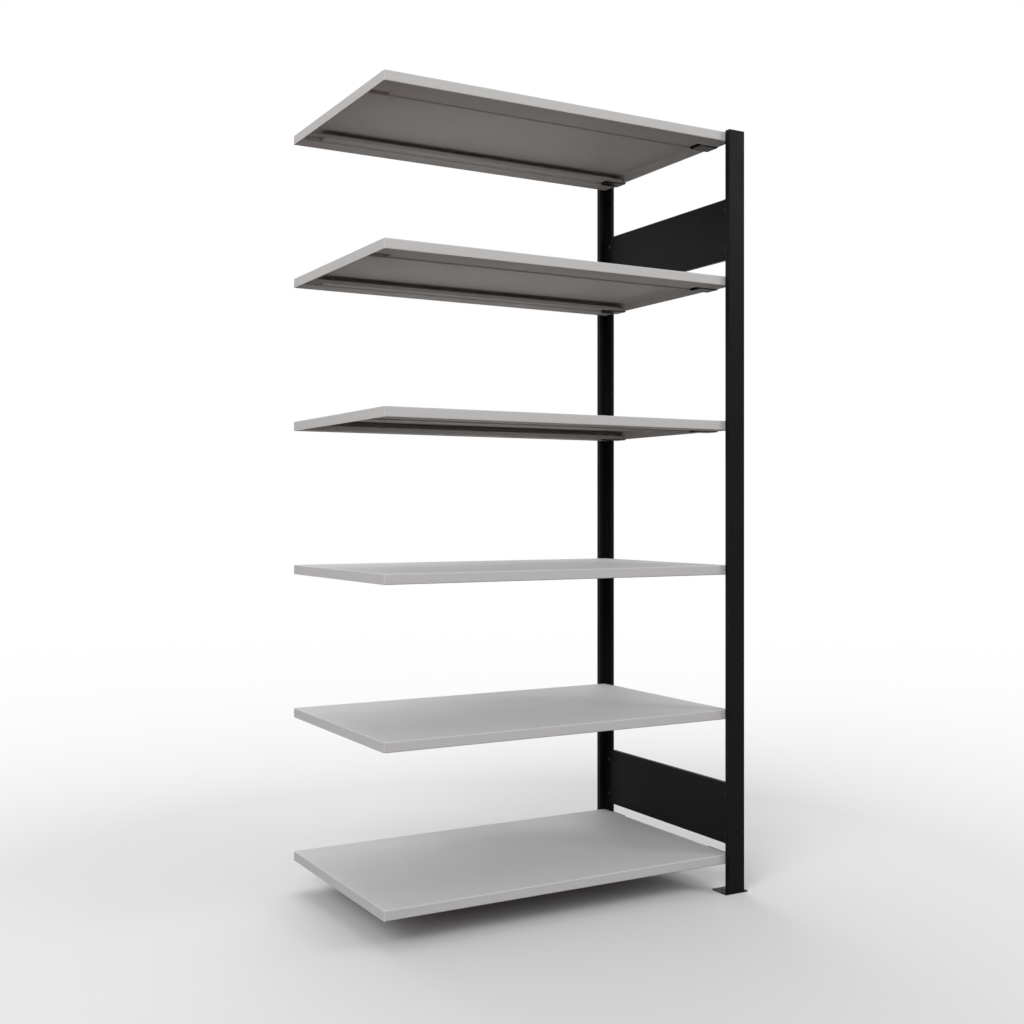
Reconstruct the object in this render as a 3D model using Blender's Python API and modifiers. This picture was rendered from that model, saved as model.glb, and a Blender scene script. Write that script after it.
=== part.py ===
"""Add-on bay of boltless steel office shelving, in metres, +Z up.

Six folded sheet shelves run along X and lie on hook-in clips at the right, where one end frame stands:
two T-section posts, two cross plates, two foot plates and two caps. The left shelf ends are free, because
they hang on the clips of the neighbouring bay's frame. The bay can be reached from both long sides, so the
front (-Y) and the rear (+Y) are alike. The origin is on the floor, in the middle of the bay.
"""

import math

import bmesh
import bpy
from mathutils import Matrix, Vector

# Levels
SHELF_COUNT = 6
SLOT_PITCH = 0.035
SLOTS_PER_LEVEL = 11
LOWEST_SHELF_TOP = 0.1025
FRAME_ABOVE_SHELF = 0.0025

# Clearances, bends and fold reliefs shared by all pieces
SEAT_GAP = 0.0003
INSIDE_BEND = 0.001
RELIEF_MARGIN = 0.0015

# Shelf: one folded sheet with box edges at the front and the rear
SHELF_LENGTH = 1.002
SHELF_DEPTH = 0.600
SHELF_EDGE = 0.025
SHELF_SHEET = 0.0012
BOX_EDGE_WIDTH = 0.057
WELD_LIP_WIDTH = 0.012

# Stiffener: a folded strip welded behind each box edge
STIFFENER_WIDTH = 0.047
STIFFENER_SHEET = 0.0015
STIFFENER_HEM = 0.010
STIFFENER_TOP_GAP = 0.002
CLIP_POCKET = 0.055

# Post: a hollow front flange with a slotted web behind it
FLANGE_WIDTH = 0.052
FLANGE_DEPTH = 0.018
FLANGE_WALL = 0.002
FLANGE_CORNER_RADIUS = 0.0025
WEB_DEPTH = 0.028
WEB_THICKNESS = 0.004
FLANGE_TO_SHELF = 0.001
WEB_TO_SHELF = 0.008
SLOT_SIDE_GAP = 0.0005
SLOT_HEIGHT = 0.016
SLOT_SETBACK = 0.0095
SLOT_DROP = 0.0145
SLOTS_BELOW_LOWEST = 1

# Shelf clip: a hooked plate with a ledge that reaches under the shelf end
CLIP_SHEET = 0.002
CLIP_HOOKS = 2
CLIP_INSET = 0.0025
CLIP_TOP_DROP = 0.002
CLIP_FOOT = 0.005
LEDGE_SIDE_GAP = 0.002
LEDGE_END_GAP = 0.003
LEDGE_LIP = 0.014
HOOK_DROP = 0.005
HOOK_PLAY = 0.001
HOOK_NOSE = 0.0025

# Cross plate: a folded sheet bolted to both webs
PLATE_HEIGHT = 0.164
PLATE_SHEET = 0.0015
PLATE_FLANGE = 0.012
PLATE_CORNER_RADIUS = 0.006
PLATE_END_INSET = 0.003
PLATE_TO_WEB_EDGE = 0.004
LOWER_PLATE_GAP = 0.0205
UPPER_PLATE_GAP = 0.0495

# Fasteners
BOLT_RADIUS = 0.003
BOLT_CLEARANCE = 0.0003
BOLT_HEAD_OVERHANG = 0.003
BOLT_HEAD_HEIGHT = 0.003
BOLT_HEAD_RIM = 0.001
BOLT_END = 0.002
BOLT_FROM_WEB_EDGE = 0.008
BOLT_FROM_PLATE_EDGE = 0.030
NUT_WALL = 0.002
NUT_HEIGHT = 0.005

# Foot plate and cap
FOOT_WIDTH = 0.073
FOOT_DEPTH = 0.060
FOOT_SHEET = 0.003
FOOT_CORNER_RADIUS = 0.001
FOOT_PROUD = 0.0005
SPIGOT_HEIGHT = 0.040
ANCHOR_RADIUS = 0.004
ANCHOR_FROM_SIDE = 0.0165
ANCHOR_FROM_REAR = 0.0215
CAP_HEIGHT = 0.007
CAP_EDGE_RADIUS = 0.001
PLUG_DEPTH = 0.015

# Facets and tolerances of the model
FOLD_SEGMENTS = 2
CORNER_STEPS = 3
ROUND_STEPS = 12
MERGE = 0.000001
CUT_MARGIN = 0.001

# Places worked out from the sizes above
LEVEL_PITCH = SLOT_PITCH * SLOTS_PER_LEVEL
SPAN = SHELF_LENGTH + WEB_TO_SHELF + WEB_THICKNESS / 2 + FOOT_WIDTH / 2
SHELF_X = -SPAN / 2 + SHELF_LENGTH / 2
SHELF_END_X = SHELF_X + SHELF_LENGTH / 2
POST_X = SHELF_END_X + WEB_TO_SHELF + WEB_THICKNESS / 2
SHELF_FRONT_Y = -SHELF_DEPTH / 2
FLANGE_REAR_Y = SHELF_FRONT_Y - FLANGE_TO_SHELF
SHELF_TOPS = [LOWEST_SHELF_TOP + level * LEVEL_PITCH for level in range(SHELF_COUNT)]
FRAME_TOP = SHELF_TOPS[-1] + FRAME_ABOVE_SHELF
POST_BOTTOM = FOOT_SHEET + SEAT_GAP
POST_TOP = FRAME_TOP - CAP_HEIGHT - SEAT_GAP
SLOT_WIDTH = CLIP_SHEET + 2 * SLOT_SIDE_GAP
HOOK_HEIGHT = SLOT_HEIGHT - HOOK_DROP - HOOK_PLAY
PLATE_X = POST_X - WEB_THICKNESS / 2 - SEAT_GAP - PLATE_SHEET
PLATE_BOTTOMS = (SHELF_TOPS[0] + LOWER_PLATE_GAP, SHELF_TOPS[-2] + UPPER_PLATE_GAP)
BOLT_RISES = (BOLT_FROM_PLATE_EDGE, PLATE_HEIGHT - BOLT_FROM_PLATE_EDGE)
BOLT_SETBACK = WEB_DEPTH - BOLT_FROM_WEB_EDGE
BOLT_Y = FLANGE_REAR_Y + BOLT_SETBACK
BOLT_HOLE_RADIUS = BOLT_RADIUS + BOLT_CLEARANCE

PARTS_NAME = "office_shelving_bay"
CUTTERS_NAME = "office_shelving_bay_cutters"


def slot_heights():
    """Heights of the slot centres, one of which lies behind each shelf's edge."""
    first = SHELF_TOPS[0] - SLOT_DROP - SLOTS_BELOW_LOWEST * SLOT_PITCH
    count = SLOTS_BELOW_LOWEST + (SHELF_COUNT - 1) * SLOTS_PER_LEVEL + 1
    return [first + k * SLOT_PITCH for k in range(count)]


def clear_scene():
    for old in list(bpy.data.objects):
        bpy.data.objects.remove(old, do_unlink=True)
    for old in list(bpy.data.collections):
        bpy.data.collections.remove(old)


def new_collection(name):
    collection = bpy.data.collections.new(name)
    bpy.context.scene.collection.children.link(collection)
    return collection


def new_material(name, colour, roughness, metallic):
    material = bpy.data.materials.new(name)
    material.use_nodes = True
    shader = material.node_tree.nodes["Principled BSDF"]
    shader.inputs["Base Color"].default_value = (*colour, 1.0)
    shader.inputs["Roughness"].default_value = roughness
    shader.inputs["Metallic"].default_value = metallic
    material.diffuse_color = (*colour, 1.0)
    return material


# Outlines and solids


def polygon(sides, radius, centre=(0.0, 0.0)):
    """Points of a regular polygon, which with many sides stands for a circle."""
    turn = 2 * math.pi / sides
    return [
        (centre[0] + radius * math.cos(turn * k), centre[1] + radius * math.sin(turn * k))
        for k in range(sides)
    ]


def rounded(corners):
    """Outline through (x, y, radius) corners, with an arc at each corner that has a radius."""
    outline = []
    count = len(corners)
    for k, (x, y, radius) in enumerate(corners):
        corner = Vector((x, y))
        before = (Vector(corners[k - 1][:2]) - corner).normalized()
        after = (Vector(corners[(k + 1) % count][:2]) - corner).normalized()
        if radius == 0:
            outline.append(tuple(corner))
            continue
        centre = corner + radius * (before + after)
        for step in range(CORNER_STEPS + 1):
            turn = math.pi / 2 * step / CORNER_STEPS
            point = centre - radius * (after * math.cos(turn) + before * math.sin(turn))
            outline.append(tuple(point))
    return outline


def rectangle(width, depth, centre=(0.0, 0.0), radius=0.0):
    """Outline of a rectangle with square or rounded corners."""
    x, y = centre
    signs = ((-1, -1), (1, -1), (1, 1), (-1, 1))
    return rounded([(x + sx * width / 2, y + sy * depth / 2, radius) for sx, sy in signs])


def t_outline():
    """Post section with the middle of the flange's rear face as origin and the web towards +Y."""
    flange = FLANGE_WIDTH / 2
    web = WEB_THICKNESS / 2
    return rounded(
        [
            (-flange, -FLANGE_DEPTH, FLANGE_CORNER_RADIUS),
            (flange, -FLANGE_DEPTH, FLANGE_CORNER_RADIUS),
            (flange, 0.0, FLANGE_CORNER_RADIUS),
            (web, 0.0, 0.0),
            (web, WEB_DEPTH, 0.0),
            (-web, WEB_DEPTH, 0.0),
            (-web, 0.0, 0.0),
            (-flange, 0.0, FLANGE_CORNER_RADIUS),
        ]
    )


def hollow_outline(clearance):
    """Inside of the flange, or what fits in it with a clearance all round."""
    width = FLANGE_WIDTH - 2 * (FLANGE_WALL + clearance)
    depth = FLANGE_DEPTH - 2 * (FLANGE_WALL + clearance)
    return rectangle(width, depth, (0.0, -FLANGE_DEPTH / 2))


def flat_solid(outlines, bottom, top):
    """Bmesh between two heights from a filled outline, with any further outlines as holes."""
    curve = bpy.data.curves.new("outline", "CURVE")
    curve.dimensions = "2D"
    curve.fill_mode = "BOTH"
    curve.extrude = (top - bottom) / 2
    for outline in outlines:
        spline = curve.splines.new("POLY")
        spline.points.add(len(outline) - 1)
        spline.use_cyclic_u = True
        for point, (x, y) in zip(spline.points, outline):
            point.co = (x, y, 0.0, 1.0)
    guide = bpy.data.objects.new("outline", curve)
    bpy.context.scene.collection.objects.link(guide)
    evaluated = guide.evaluated_get(bpy.context.evaluated_depsgraph_get())
    mesh = bpy.data.meshes.new_from_object(evaluated)
    bpy.data.objects.remove(guide)
    bm = bmesh.new()
    bm.from_mesh(mesh)
    bpy.data.meshes.remove(mesh)
    bmesh.ops.remove_doubles(bm, verts=bm.verts, dist=MERGE)
    bmesh.ops.recalc_face_normals(bm, faces=bm.faces)
    bmesh.ops.translate(bm, verts=bm.verts, vec=(0.0, 0.0, (bottom + top) / 2))
    return bm


def add_box(bm, low, high):
    """Box between two corners, added to a bmesh."""
    size = Vector(high) - Vector(low)
    middle = (Vector(high) + Vector(low)) / 2
    place = Matrix.Translation(middle) @ Matrix.Diagonal((*size, 1.0))
    bmesh.ops.create_cube(bm, size=1.0, matrix=place)


def add_cross_pin(bm, radius, length, y, z):
    """Cylinder along X through the web plane, added to a bmesh."""
    place = Matrix.Translation((0.0, y, z)) @ Matrix.Rotation(math.pi / 2, 4, "Y")
    bmesh.ops.create_cone(
        bm, cap_ends=True, segments=ROUND_STEPS, radius1=radius, radius2=radius, depth=length, matrix=place
    )


# Folded sheets


def fold(bm, edges, step):
    """Extrude edges by a step and return the edges at the far side."""
    made = bmesh.ops.extrude_edge_only(bm, edges=edges)["geom"]
    verts = {item for item in made if isinstance(item, bmesh.types.BMVert)}
    bmesh.ops.translate(bm, verts=list(verts), vec=step)
    return [edge for edge in bm.edges if verts.issuperset(edge.verts)]


def middle_of(edge):
    return (edge.verts[0].co + edge.verts[1].co) / 2


def start_edge(bm, first, last):
    """First edge of a strip that is then folded on from it."""
    return [bm.edges.new((bm.verts.new(first), bm.verts.new(last)))]


def cut_across(bm, axis, place):
    """Cut every face of a sheet where it crosses a plane that is square to an axis."""
    normal = Vector((0.0, 0.0, 0.0))
    normal[axis] = 1.0
    geometry = bm.verts[:] + bm.edges[:] + bm.faces[:]
    bmesh.ops.bisect_plane(bm, geom=geometry, plane_co=normal * place, plane_no=normal, dist=MERGE)


def relief(thickness):
    """Room that a fold needs beside it, in a sheet of this thickness."""
    return thickness + INSIDE_BEND + RELIEF_MARGIN


def round_folds(bm, thickness):
    """Round every fold of a sheet, whose outer face this is."""
    radius = thickness + INSIDE_BEND
    folds = [edge for edge in bm.edges if len(edge.link_faces) == 2 and edge.calc_face_angle() > 0.5]
    bmesh.ops.bevel(
        bm, geom=folds, offset=radius, segments=FOLD_SEGMENTS, profile=0.5, affect="EDGES", material=-1
    )


def face_outwards(bm, outer_face, outward):
    """Make a sheet's normals agree, with one known face pointing outwards."""
    bmesh.ops.recalc_face_normals(bm, faces=bm.faces)
    if outer_face.normal.dot(Vector(outward)) < 0:
        bmesh.ops.reverse_faces(bm, faces=bm.faces)


def flipped_copy(mesh, name):
    """Copy of a mesh mirrored from front to rear."""
    bm = bmesh.new()
    bm.from_mesh(mesh)
    bmesh.ops.scale(bm, verts=bm.verts, vec=(1.0, -1.0, 1.0))
    bmesh.ops.reverse_faces(bm, faces=bm.faces)
    return finished_mesh(bm, name)


def finished_mesh(bm, name):
    mesh = bpy.data.meshes.new(name)
    bm.to_mesh(mesh)
    bm.free()
    return mesh


# Objects and modifiers


def place_object(name, mesh, collection, material=None, location=(0.0, 0.0, 0.0), turn=0.0, parent=None):
    """Object with a mesh, turned about Z and placed in its parent's frame or in the world."""
    placed = bpy.data.objects.new(name, mesh)
    placed.location = location
    placed.rotation_euler.z = turn
    placed.parent = parent
    collection.objects.link(placed)
    if material is not None and material.name not in mesh.materials:
        mesh.materials.append(material)
    return placed


def place_cutter(name, bm, cutters):
    cutter = place_object(name, finished_mesh(bm, name), cutters)
    cutter.hide_render = True
    cutter.display_type = "WIRE"
    return cutter


def thicken(piece, thickness):
    """Give a sheet its thickness, inwards from its outer face."""
    solidify = piece.modifiers.new("sheet", "SOLIDIFY")
    solidify.thickness = thickness
    solidify.offset = -1.0
    solidify.use_even_offset = True


def combine(piece, operation, other):
    boolean = piece.modifiers.new(operation.lower(), "BOOLEAN")
    boolean.operation = operation
    boolean.solver = "EXACT"
    boolean.object = other


def applied_mesh(piece, name):
    """Mesh of a piece with its modifiers applied; the piece itself is removed."""
    evaluated = piece.evaluated_get(bpy.context.evaluated_depsgraph_get())
    mesh = bpy.data.meshes.new_from_object(evaluated)
    mesh.name = name
    bpy.data.objects.remove(piece)
    return mesh


# Shelves


def shelf_sheet():
    """Outer surface of a shelf, with its origin in the middle of the top."""
    corner = relief(SHELF_SHEET)
    bm = bmesh.new()
    place = Matrix.Diagonal((SHELF_LENGTH, SHELF_DEPTH, 1.0, 1.0))
    bmesh.ops.create_grid(bm, x_segments=1, y_segments=1, size=0.5, matrix=place)
    for axis, size in enumerate((SHELF_LENGTH, SHELF_DEPTH)):
        for side in (-1, 1):
            cut_across(bm, axis, side * (size / 2 - corner))
    top = max(bm.faces, key=lambda face: face.calc_area())
    rim = [edge for edge in bm.edges if edge.is_boundary]
    rim = fold(bm, rim, (0.0, 0.0, corner - SHELF_EDGE))
    straight = [edge for edge in rim if edge.calc_length() > 2 * corner]
    lower = fold(bm, straight, (0.0, 0.0, -corner))
    wall_height = SHELF_EDGE - 2 * SHELF_SHEET - SEAT_GAP
    for side in (-1, 1):
        edge = [e for e in lower if abs(middle_of(e).y - side * SHELF_DEPTH / 2) < MERGE]
        edge = fold(bm, edge, (0.0, -side * BOX_EDGE_WIDTH, 0.0))
        edge = fold(bm, edge, (0.0, 0.0, wall_height))
        fold(bm, edge, (0.0, -side * WELD_LIP_WIDTH, 0.0))
    face_outwards(bm, top, (0.0, 0.0, 1.0))
    round_folds(bm, SHELF_SHEET)
    return bm


def stiffener_sheet():
    """Outer surface of a front stiffener, in the shelf's frame."""
    half = SHELF_LENGTH / 2 - CLIP_POCKET
    wall = SHELF_FRONT_Y + BOX_EDGE_WIDTH + SEAT_GAP
    top = -(2 * SHELF_SHEET + SEAT_GAP) - STIFFENER_TOP_GAP
    bm = bmesh.new()
    edge = start_edge(bm, (-half, wall, top), (half, wall, top))
    edge = fold(bm, edge, (0.0, 0.0, -SHELF_EDGE - top))
    leg = edge[0].link_faces[0]
    edge = fold(bm, edge, (0.0, STIFFENER_WIDTH, 0.0))
    fold(bm, edge, (0.0, 0.0, STIFFENER_HEM))
    face_outwards(bm, leg, (0.0, -1.0, 0.0))
    round_folds(bm, STIFFENER_SHEET)
    return bm


def make_shelves(parts, material):
    """Each shelf and its two stiffeners, on an empty that the lift moves."""
    sheet = finished_mesh(shelf_sheet(), "shelf")
    front = finished_mesh(stiffener_sheet(), "stiffener_front")
    rear = flipped_copy(front, "stiffener_rear")
    for level, top in enumerate(SHELF_TOPS):
        name = f"shelf_{level + 1}"
        lift = bpy.data.objects.new(f"{name}_lift", None)
        lift.location = (SHELF_X, 0.0, top)
        parts.objects.link(lift)
        pan = place_object(f"{name}_pan", sheet, parts, material, parent=lift)
        thicken(pan, SHELF_SHEET)
        for side, mesh in (("front", front), ("rear", rear)):
            strip = place_object(f"{name}_{side}_stiffener", mesh, parts, material, parent=lift)
            thicken(strip, STIFFENER_SHEET)


# End frame


def make_posts(parts, cutters, material):
    """Front and rear post, slotted from below the lowest shelf to the highest."""
    tool = bmesh.new()
    reach = WEB_THICKNESS / 2 + CUT_MARGIN
    for height in slot_heights():
        low = (-reach, SLOT_SETBACK - SLOT_WIDTH / 2, height - SLOT_HEIGHT / 2)
        high = (reach, SLOT_SETBACK + SLOT_WIDTH / 2, height + SLOT_HEIGHT / 2)
        add_box(tool, low, high)
    for bottom in PLATE_BOTTOMS:
        for rise in BOLT_RISES:
            add_cross_pin(tool, BOLT_HOLE_RADIUS, 2 * reach, BOLT_SETBACK, bottom + rise)
    cutter = place_cutter("post_slots", tool, cutters)
    section = [t_outline(), hollow_outline(0.0)]
    blank = place_object("post", finished_mesh(flat_solid(section, POST_BOTTOM, POST_TOP), "post"), parts)
    combine(blank, "DIFFERENCE", cutter)
    mesh = applied_mesh(blank, "post")
    place_object("front_post", mesh, parts, material, (POST_X, FLANGE_REAR_Y, 0.0))
    place_object("rear_post", mesh, parts, material, (POST_X, -FLANGE_REAR_Y, 0.0), math.pi)


def make_feet(parts, cutters, material):
    """Foot plates, each with a spigot in the post and an anchor hole on either side of the web."""
    rear = FOOT_DEPTH - FLANGE_DEPTH - FOOT_PROUD
    outlines = [rectangle(FOOT_WIDTH, FOOT_DEPTH, (0.0, rear - FOOT_DEPTH / 2), FOOT_CORNER_RADIUS)]
    for side in (-1, 1):
        centre = (side * (FOOT_WIDTH / 2 - ANCHOR_FROM_SIDE), rear - ANCHOR_FROM_REAR)
        outlines.append(polygon(ROUND_STEPS, ANCHOR_RADIUS, centre))
    blank = place_object("foot", finished_mesh(flat_solid(outlines, 0.0, FOOT_SHEET), "foot"), parts)
    spigot = flat_solid([hollow_outline(SEAT_GAP)], FOOT_SHEET / 2, FOOT_SHEET + SPIGOT_HEIGHT)
    combine(blank, "UNION", place_cutter("foot_spigot", spigot, cutters))
    mesh = applied_mesh(blank, "foot")
    place_object("front_foot_plate", mesh, parts, material, (POST_X, FLANGE_REAR_Y, 0.0))
    place_object("rear_foot_plate", mesh, parts, material, (POST_X, -FLANGE_REAR_Y, 0.0), math.pi)


def make_caps(parts, cutters, material):
    """Plastic caps that follow the post's section and plug into its hollow."""
    bottom = FRAME_TOP - CAP_HEIGHT
    slab = flat_solid([t_outline()], bottom, FRAME_TOP)
    bmesh.ops.dissolve_limit(slab, angle_limit=0.01, verts=slab.verts, edges=slab.edges)
    top = max(slab.faces, key=lambda face: face.calc_center_median().z)
    bmesh.ops.bevel(
        slab, geom=top.edges[:], offset=CAP_EDGE_RADIUS, segments=FOLD_SEGMENTS, profile=0.5, affect="EDGES"
    )
    blank = place_object("cap", finished_mesh(slab, "cap"), parts)
    plug = flat_solid([hollow_outline(SEAT_GAP)], bottom - PLUG_DEPTH, bottom + CAP_HEIGHT / 2)
    combine(blank, "UNION", place_cutter("cap_plug", plug, cutters))
    mesh = applied_mesh(blank, "cap")
    place_object("front_post_cap", mesh, parts, material, (POST_X, FLANGE_REAR_Y, 0.0))
    place_object("rear_post_cap", mesh, parts, material, (POST_X, -FLANGE_REAR_Y, 0.0), math.pi)


def plate_sheet():
    """Outer surface of a cross plate, standing on z = 0, with its flanges between the webs."""
    reach = -FLANGE_REAR_Y - PLATE_END_INSET
    flange_end = -FLANGE_REAR_Y - WEB_DEPTH - PLATE_TO_WEB_EDGE
    notch = relief(PLATE_SHEET)
    bm = bmesh.new()
    edge = start_edge(bm, (PLATE_X, -reach, notch), (PLATE_X, reach, notch))
    fold(bm, edge, (0.0, 0.0, PLATE_HEIGHT - 2 * notch))
    bmesh.ops.bevel(
        bm,
        geom=bm.verts[:],
        offset=PLATE_CORNER_RADIUS,
        segments=CORNER_STEPS,
        profile=0.5,
        affect="VERTICES",
    )
    for side in (-1, 1):
        cut_across(bm, 1, side * flange_end)
    web = max(bm.faces, key=lambda face: face.calc_area())
    level = [edge for edge in web.edges if abs(edge.verts[0].co.z - edge.verts[1].co.z) < MERGE]
    for edge in level:
        side = 1 if middle_of(edge).z > PLATE_HEIGHT / 2 else -1
        outer = fold(bm, [edge], (0.0, 0.0, side * notch))
        fold(bm, outer, (PLATE_FLANGE, 0.0, 0.0))
    face_outwards(bm, web, (-1.0, 0.0, 0.0))
    round_folds(bm, PLATE_SHEET)
    return bm


def make_cross_plates(parts, cutters, material):
    """Lower and upper cross plate with their bolt holes."""
    tool = bmesh.new()
    for y in (BOLT_Y, -BOLT_Y):
        for rise in BOLT_RISES:
            add_cross_pin(tool, BOLT_HOLE_RADIUS, 2 * (PLATE_SHEET + CUT_MARGIN), y, rise)
    bmesh.ops.translate(tool, verts=tool.verts, vec=(PLATE_X, 0.0, 0.0))
    blank = place_object("cross_plate", finished_mesh(plate_sheet(), "cross_plate"), parts)
    thicken(blank, PLATE_SHEET)
    combine(blank, "DIFFERENCE", place_cutter("plate_holes", tool, cutters))
    mesh = applied_mesh(blank, "cross_plate")
    for name, bottom in zip(("lower", "upper"), PLATE_BOTTOMS):
        place_object(f"{name}_cross_plate", mesh, parts, material, (0.0, 0.0, bottom))


# Clips


def clip_sheet():
    """Outer surface of a front clip; the origin is the shelf's front right corner at the top."""
    leg_x = WEB_TO_SHELF - SEAT_GAP
    front = -FLANGE_TO_SHELF + CLIP_INSET
    strip_rear = -FLANGE_TO_SHELF + WEB_DEPTH - CLIP_INSET
    ledge_front = BOX_EDGE_WIDTH + LEDGE_SIDE_GAP
    ledge_rear = BOX_EDGE_WIDTH + STIFFENER_WIDTH - LEDGE_SIDE_GAP
    ledge_bottom = -(SHELF_EDGE + SEAT_GAP + CLIP_SHEET)
    arm_bottom = ledge_bottom + relief(CLIP_SHEET)
    strip_bottom = -(SLOT_DROP + (CLIP_HOOKS - 1) * SLOT_PITCH + SLOT_HEIGHT / 2 + CLIP_FOOT)
    reach = leg_x + CLIP_POCKET - LEDGE_END_GAP
    bm = bmesh.new()
    edge = start_edge(bm, (leg_x, front, -CLIP_TOP_DROP), (leg_x, front, arm_bottom))
    sections = []
    for rear, ahead in ((strip_rear, front), (ledge_front, strip_rear), (ledge_rear, ledge_front)):
        edge = fold(bm, edge, (0.0, rear - ahead, 0.0))
        sections.append(edge[0].link_faces[0])
    strip, _, shoulder = sections
    lower = [min(face.edges, key=lambda e: middle_of(e).z) for face in (strip, shoulder)]
    fold(bm, lower[:1], (0.0, 0.0, strip_bottom - arm_bottom))
    corner = fold(bm, lower[1:], (0.0, 0.0, ledge_bottom - arm_bottom))
    ledge = fold(bm, corner, (-reach, 0.0, 0.0))
    fold(bm, ledge, (0.0, 0.0, LEDGE_LIP))
    face_outwards(bm, strip, (1.0, 0.0, 0.0))
    round_folds(bm, CLIP_SHEET)
    return bm


def clip_hooks():
    """Two hooks that pass through neighbouring slots and hang down behind the web."""
    near = WEB_TO_SHELF - SEAT_GAP - CLIP_SHEET / 2
    behind = WEB_TO_SHELF + WEB_THICKNESS + SEAT_GAP
    far = behind + HOOK_NOSE
    outlines = []
    for slot in range(CLIP_HOOKS):
        seat = -SLOT_DROP - slot * SLOT_PITCH - SLOT_HEIGHT / 2 + SEAT_GAP
        top = seat + HOOK_HEIGHT
        tip = seat - HOOK_DROP
        outlines.append([(near, seat), (behind, seat), (behind, tip), (far, tip), (far, top), (near, top)])
    bm = flat_solid(outlines, -CLIP_SHEET / 2, CLIP_SHEET / 2)
    upright = Matrix.Rotation(math.pi / 2, 4, "X")
    place = Matrix.Translation((0.0, SLOT_SETBACK - FLANGE_TO_SHELF, 0.0)) @ upright
    bmesh.ops.transform(bm, matrix=place, verts=bm.verts)
    return bm


def make_clips(parts, cutters, material):
    """Front and rear clip under the right end of each shelf."""
    blank = place_object("clip", finished_mesh(clip_sheet(), "clip"), parts)
    thicken(blank, CLIP_SHEET)
    combine(blank, "UNION", place_cutter("clip_hooks", clip_hooks(), cutters))
    front = applied_mesh(blank, "clip_front")
    rear = flipped_copy(front, "clip_rear")
    for level, top in enumerate(SHELF_TOPS):
        for side, mesh, y in (("front", front, SHELF_FRONT_Y), ("rear", rear, -SHELF_FRONT_Y)):
            place_object(f"shelf_{level + 1}_{side}_clip", mesh, parts, material, (SHELF_END_X, y, top))


# Fasteners


def bolt_profile():
    """Half section of a bolt along Z, with its domed head on z = 0 and its shank below."""
    shank = PLATE_SHEET + WEB_THICKNESS + NUT_HEIGHT + 3 * SEAT_GAP + BOLT_END
    head = BOLT_RADIUS + BOLT_HEAD_OVERHANG
    dome = BOLT_HEAD_HEIGHT - BOLT_HEAD_RIM
    points = []
    for step in range(CORNER_STEPS + 1):
        turn = math.pi / 2 * step / CORNER_STEPS
        points.append((head * math.sin(turn), BOLT_HEAD_RIM + dome * math.cos(turn)))
    points += [(head, 0.0), (BOLT_RADIUS, 0.0), (BOLT_RADIUS, -shank), (0.0, -shank)]
    bm = bmesh.new()
    verts = [bm.verts.new((x, 0.0, z)) for x, z in points]
    for pair in zip(verts, verts[1:]):
        bm.edges.new(pair)
    return bm


def make_fasteners(parts, material):
    """A bolt from the shelf side and a nut behind the web at each plate hole."""
    profile = place_object("bolt", finished_mesh(bolt_profile(), "bolt"), parts)
    turned = profile.modifiers.new("turned", "SCREW")
    turned.axis = "Z"
    turned.steps = ROUND_STEPS
    turned.render_steps = ROUND_STEPS
    turned.use_merge_vertices = True
    turned.merge_threshold = MERGE
    bolt = applied_mesh(profile, "bolt")
    bolt.transform(Matrix.Rotation(-math.pi / 2, 4, "Y"))
    corner_radius = (BOLT_RADIUS + NUT_WALL) / math.cos(math.pi / 6)
    hexagon = [polygon(6, corner_radius), polygon(ROUND_STEPS, BOLT_RADIUS + SEAT_GAP)]
    nut = finished_mesh(flat_solid(hexagon, 0.0, NUT_HEIGHT), "nut")
    nut.transform(Matrix.Rotation(math.pi / 2, 4, "Y"))
    head_x = PLATE_X - SEAT_GAP
    nut_x = POST_X + WEB_THICKNESS / 2 + SEAT_GAP
    for level, bottom in zip(("lower", "upper"), PLATE_BOTTOMS):
        for side, y in (("front", BOLT_Y), ("rear", -BOLT_Y)):
            for spot, rise in zip(("low", "high"), BOLT_RISES):
                name = f"{level}_{side}_{spot}"
                place_object(f"{name}_bolt", bolt, parts, material, (head_x, y, bottom + rise))
                place_object(f"{name}_nut", nut, parts, material, (nut_x, y, bottom + rise))


def main():
    clear_scene()
    parts = new_collection(PARTS_NAME)
    cutters = new_collection(CUTTERS_NAME)
    light_grey = new_material("light_grey_powder_coat", (0.51, 0.51, 0.50), 0.45, 0.0)
    black_grey = new_material("black_grey_powder_coat", (0.020, 0.021, 0.022), 0.50, 0.0)
    black_plastic = new_material("black_cap_plastic", (0.018, 0.018, 0.019), 0.55, 0.0)
    black_zinc = new_material("black_zinc_plated_steel", (0.040, 0.041, 0.043), 0.40, 1.0)
    make_shelves(parts, light_grey)
    make_posts(parts, cutters, black_grey)
    make_feet(parts, cutters, black_grey)
    make_caps(parts, cutters, black_plastic)
    make_cross_plates(parts, cutters, black_grey)
    make_clips(parts, cutters, black_grey)
    make_fasteners(parts, black_zinc)


main()
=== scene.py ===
"""Looks for an add-on bay of steel office shelving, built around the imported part.

Six folded light grey shelves lie on hook-in clips at the right, where one black frame stands: two
roll-formed posts, two cross plates, two feet and two caps. Each piece is modelled again with fine
folds in the place of its CAD node and dressed with powder coat, moulded plastic or zinc. Sizes are
in metres, in the part's own frame.
"""

import logging
import math
from collections.abc import Iterable, Sequence
from dataclasses import dataclass, field
from enum import Enum

import bmesh
import bpy
from bmesh.types import BMEdge, BMesh, BMFace, BMVert
from bpy.types import Material, Mesh, Node, NodeSocket, NodeTree, Object
from mathutils import Matrix, Vector


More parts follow.
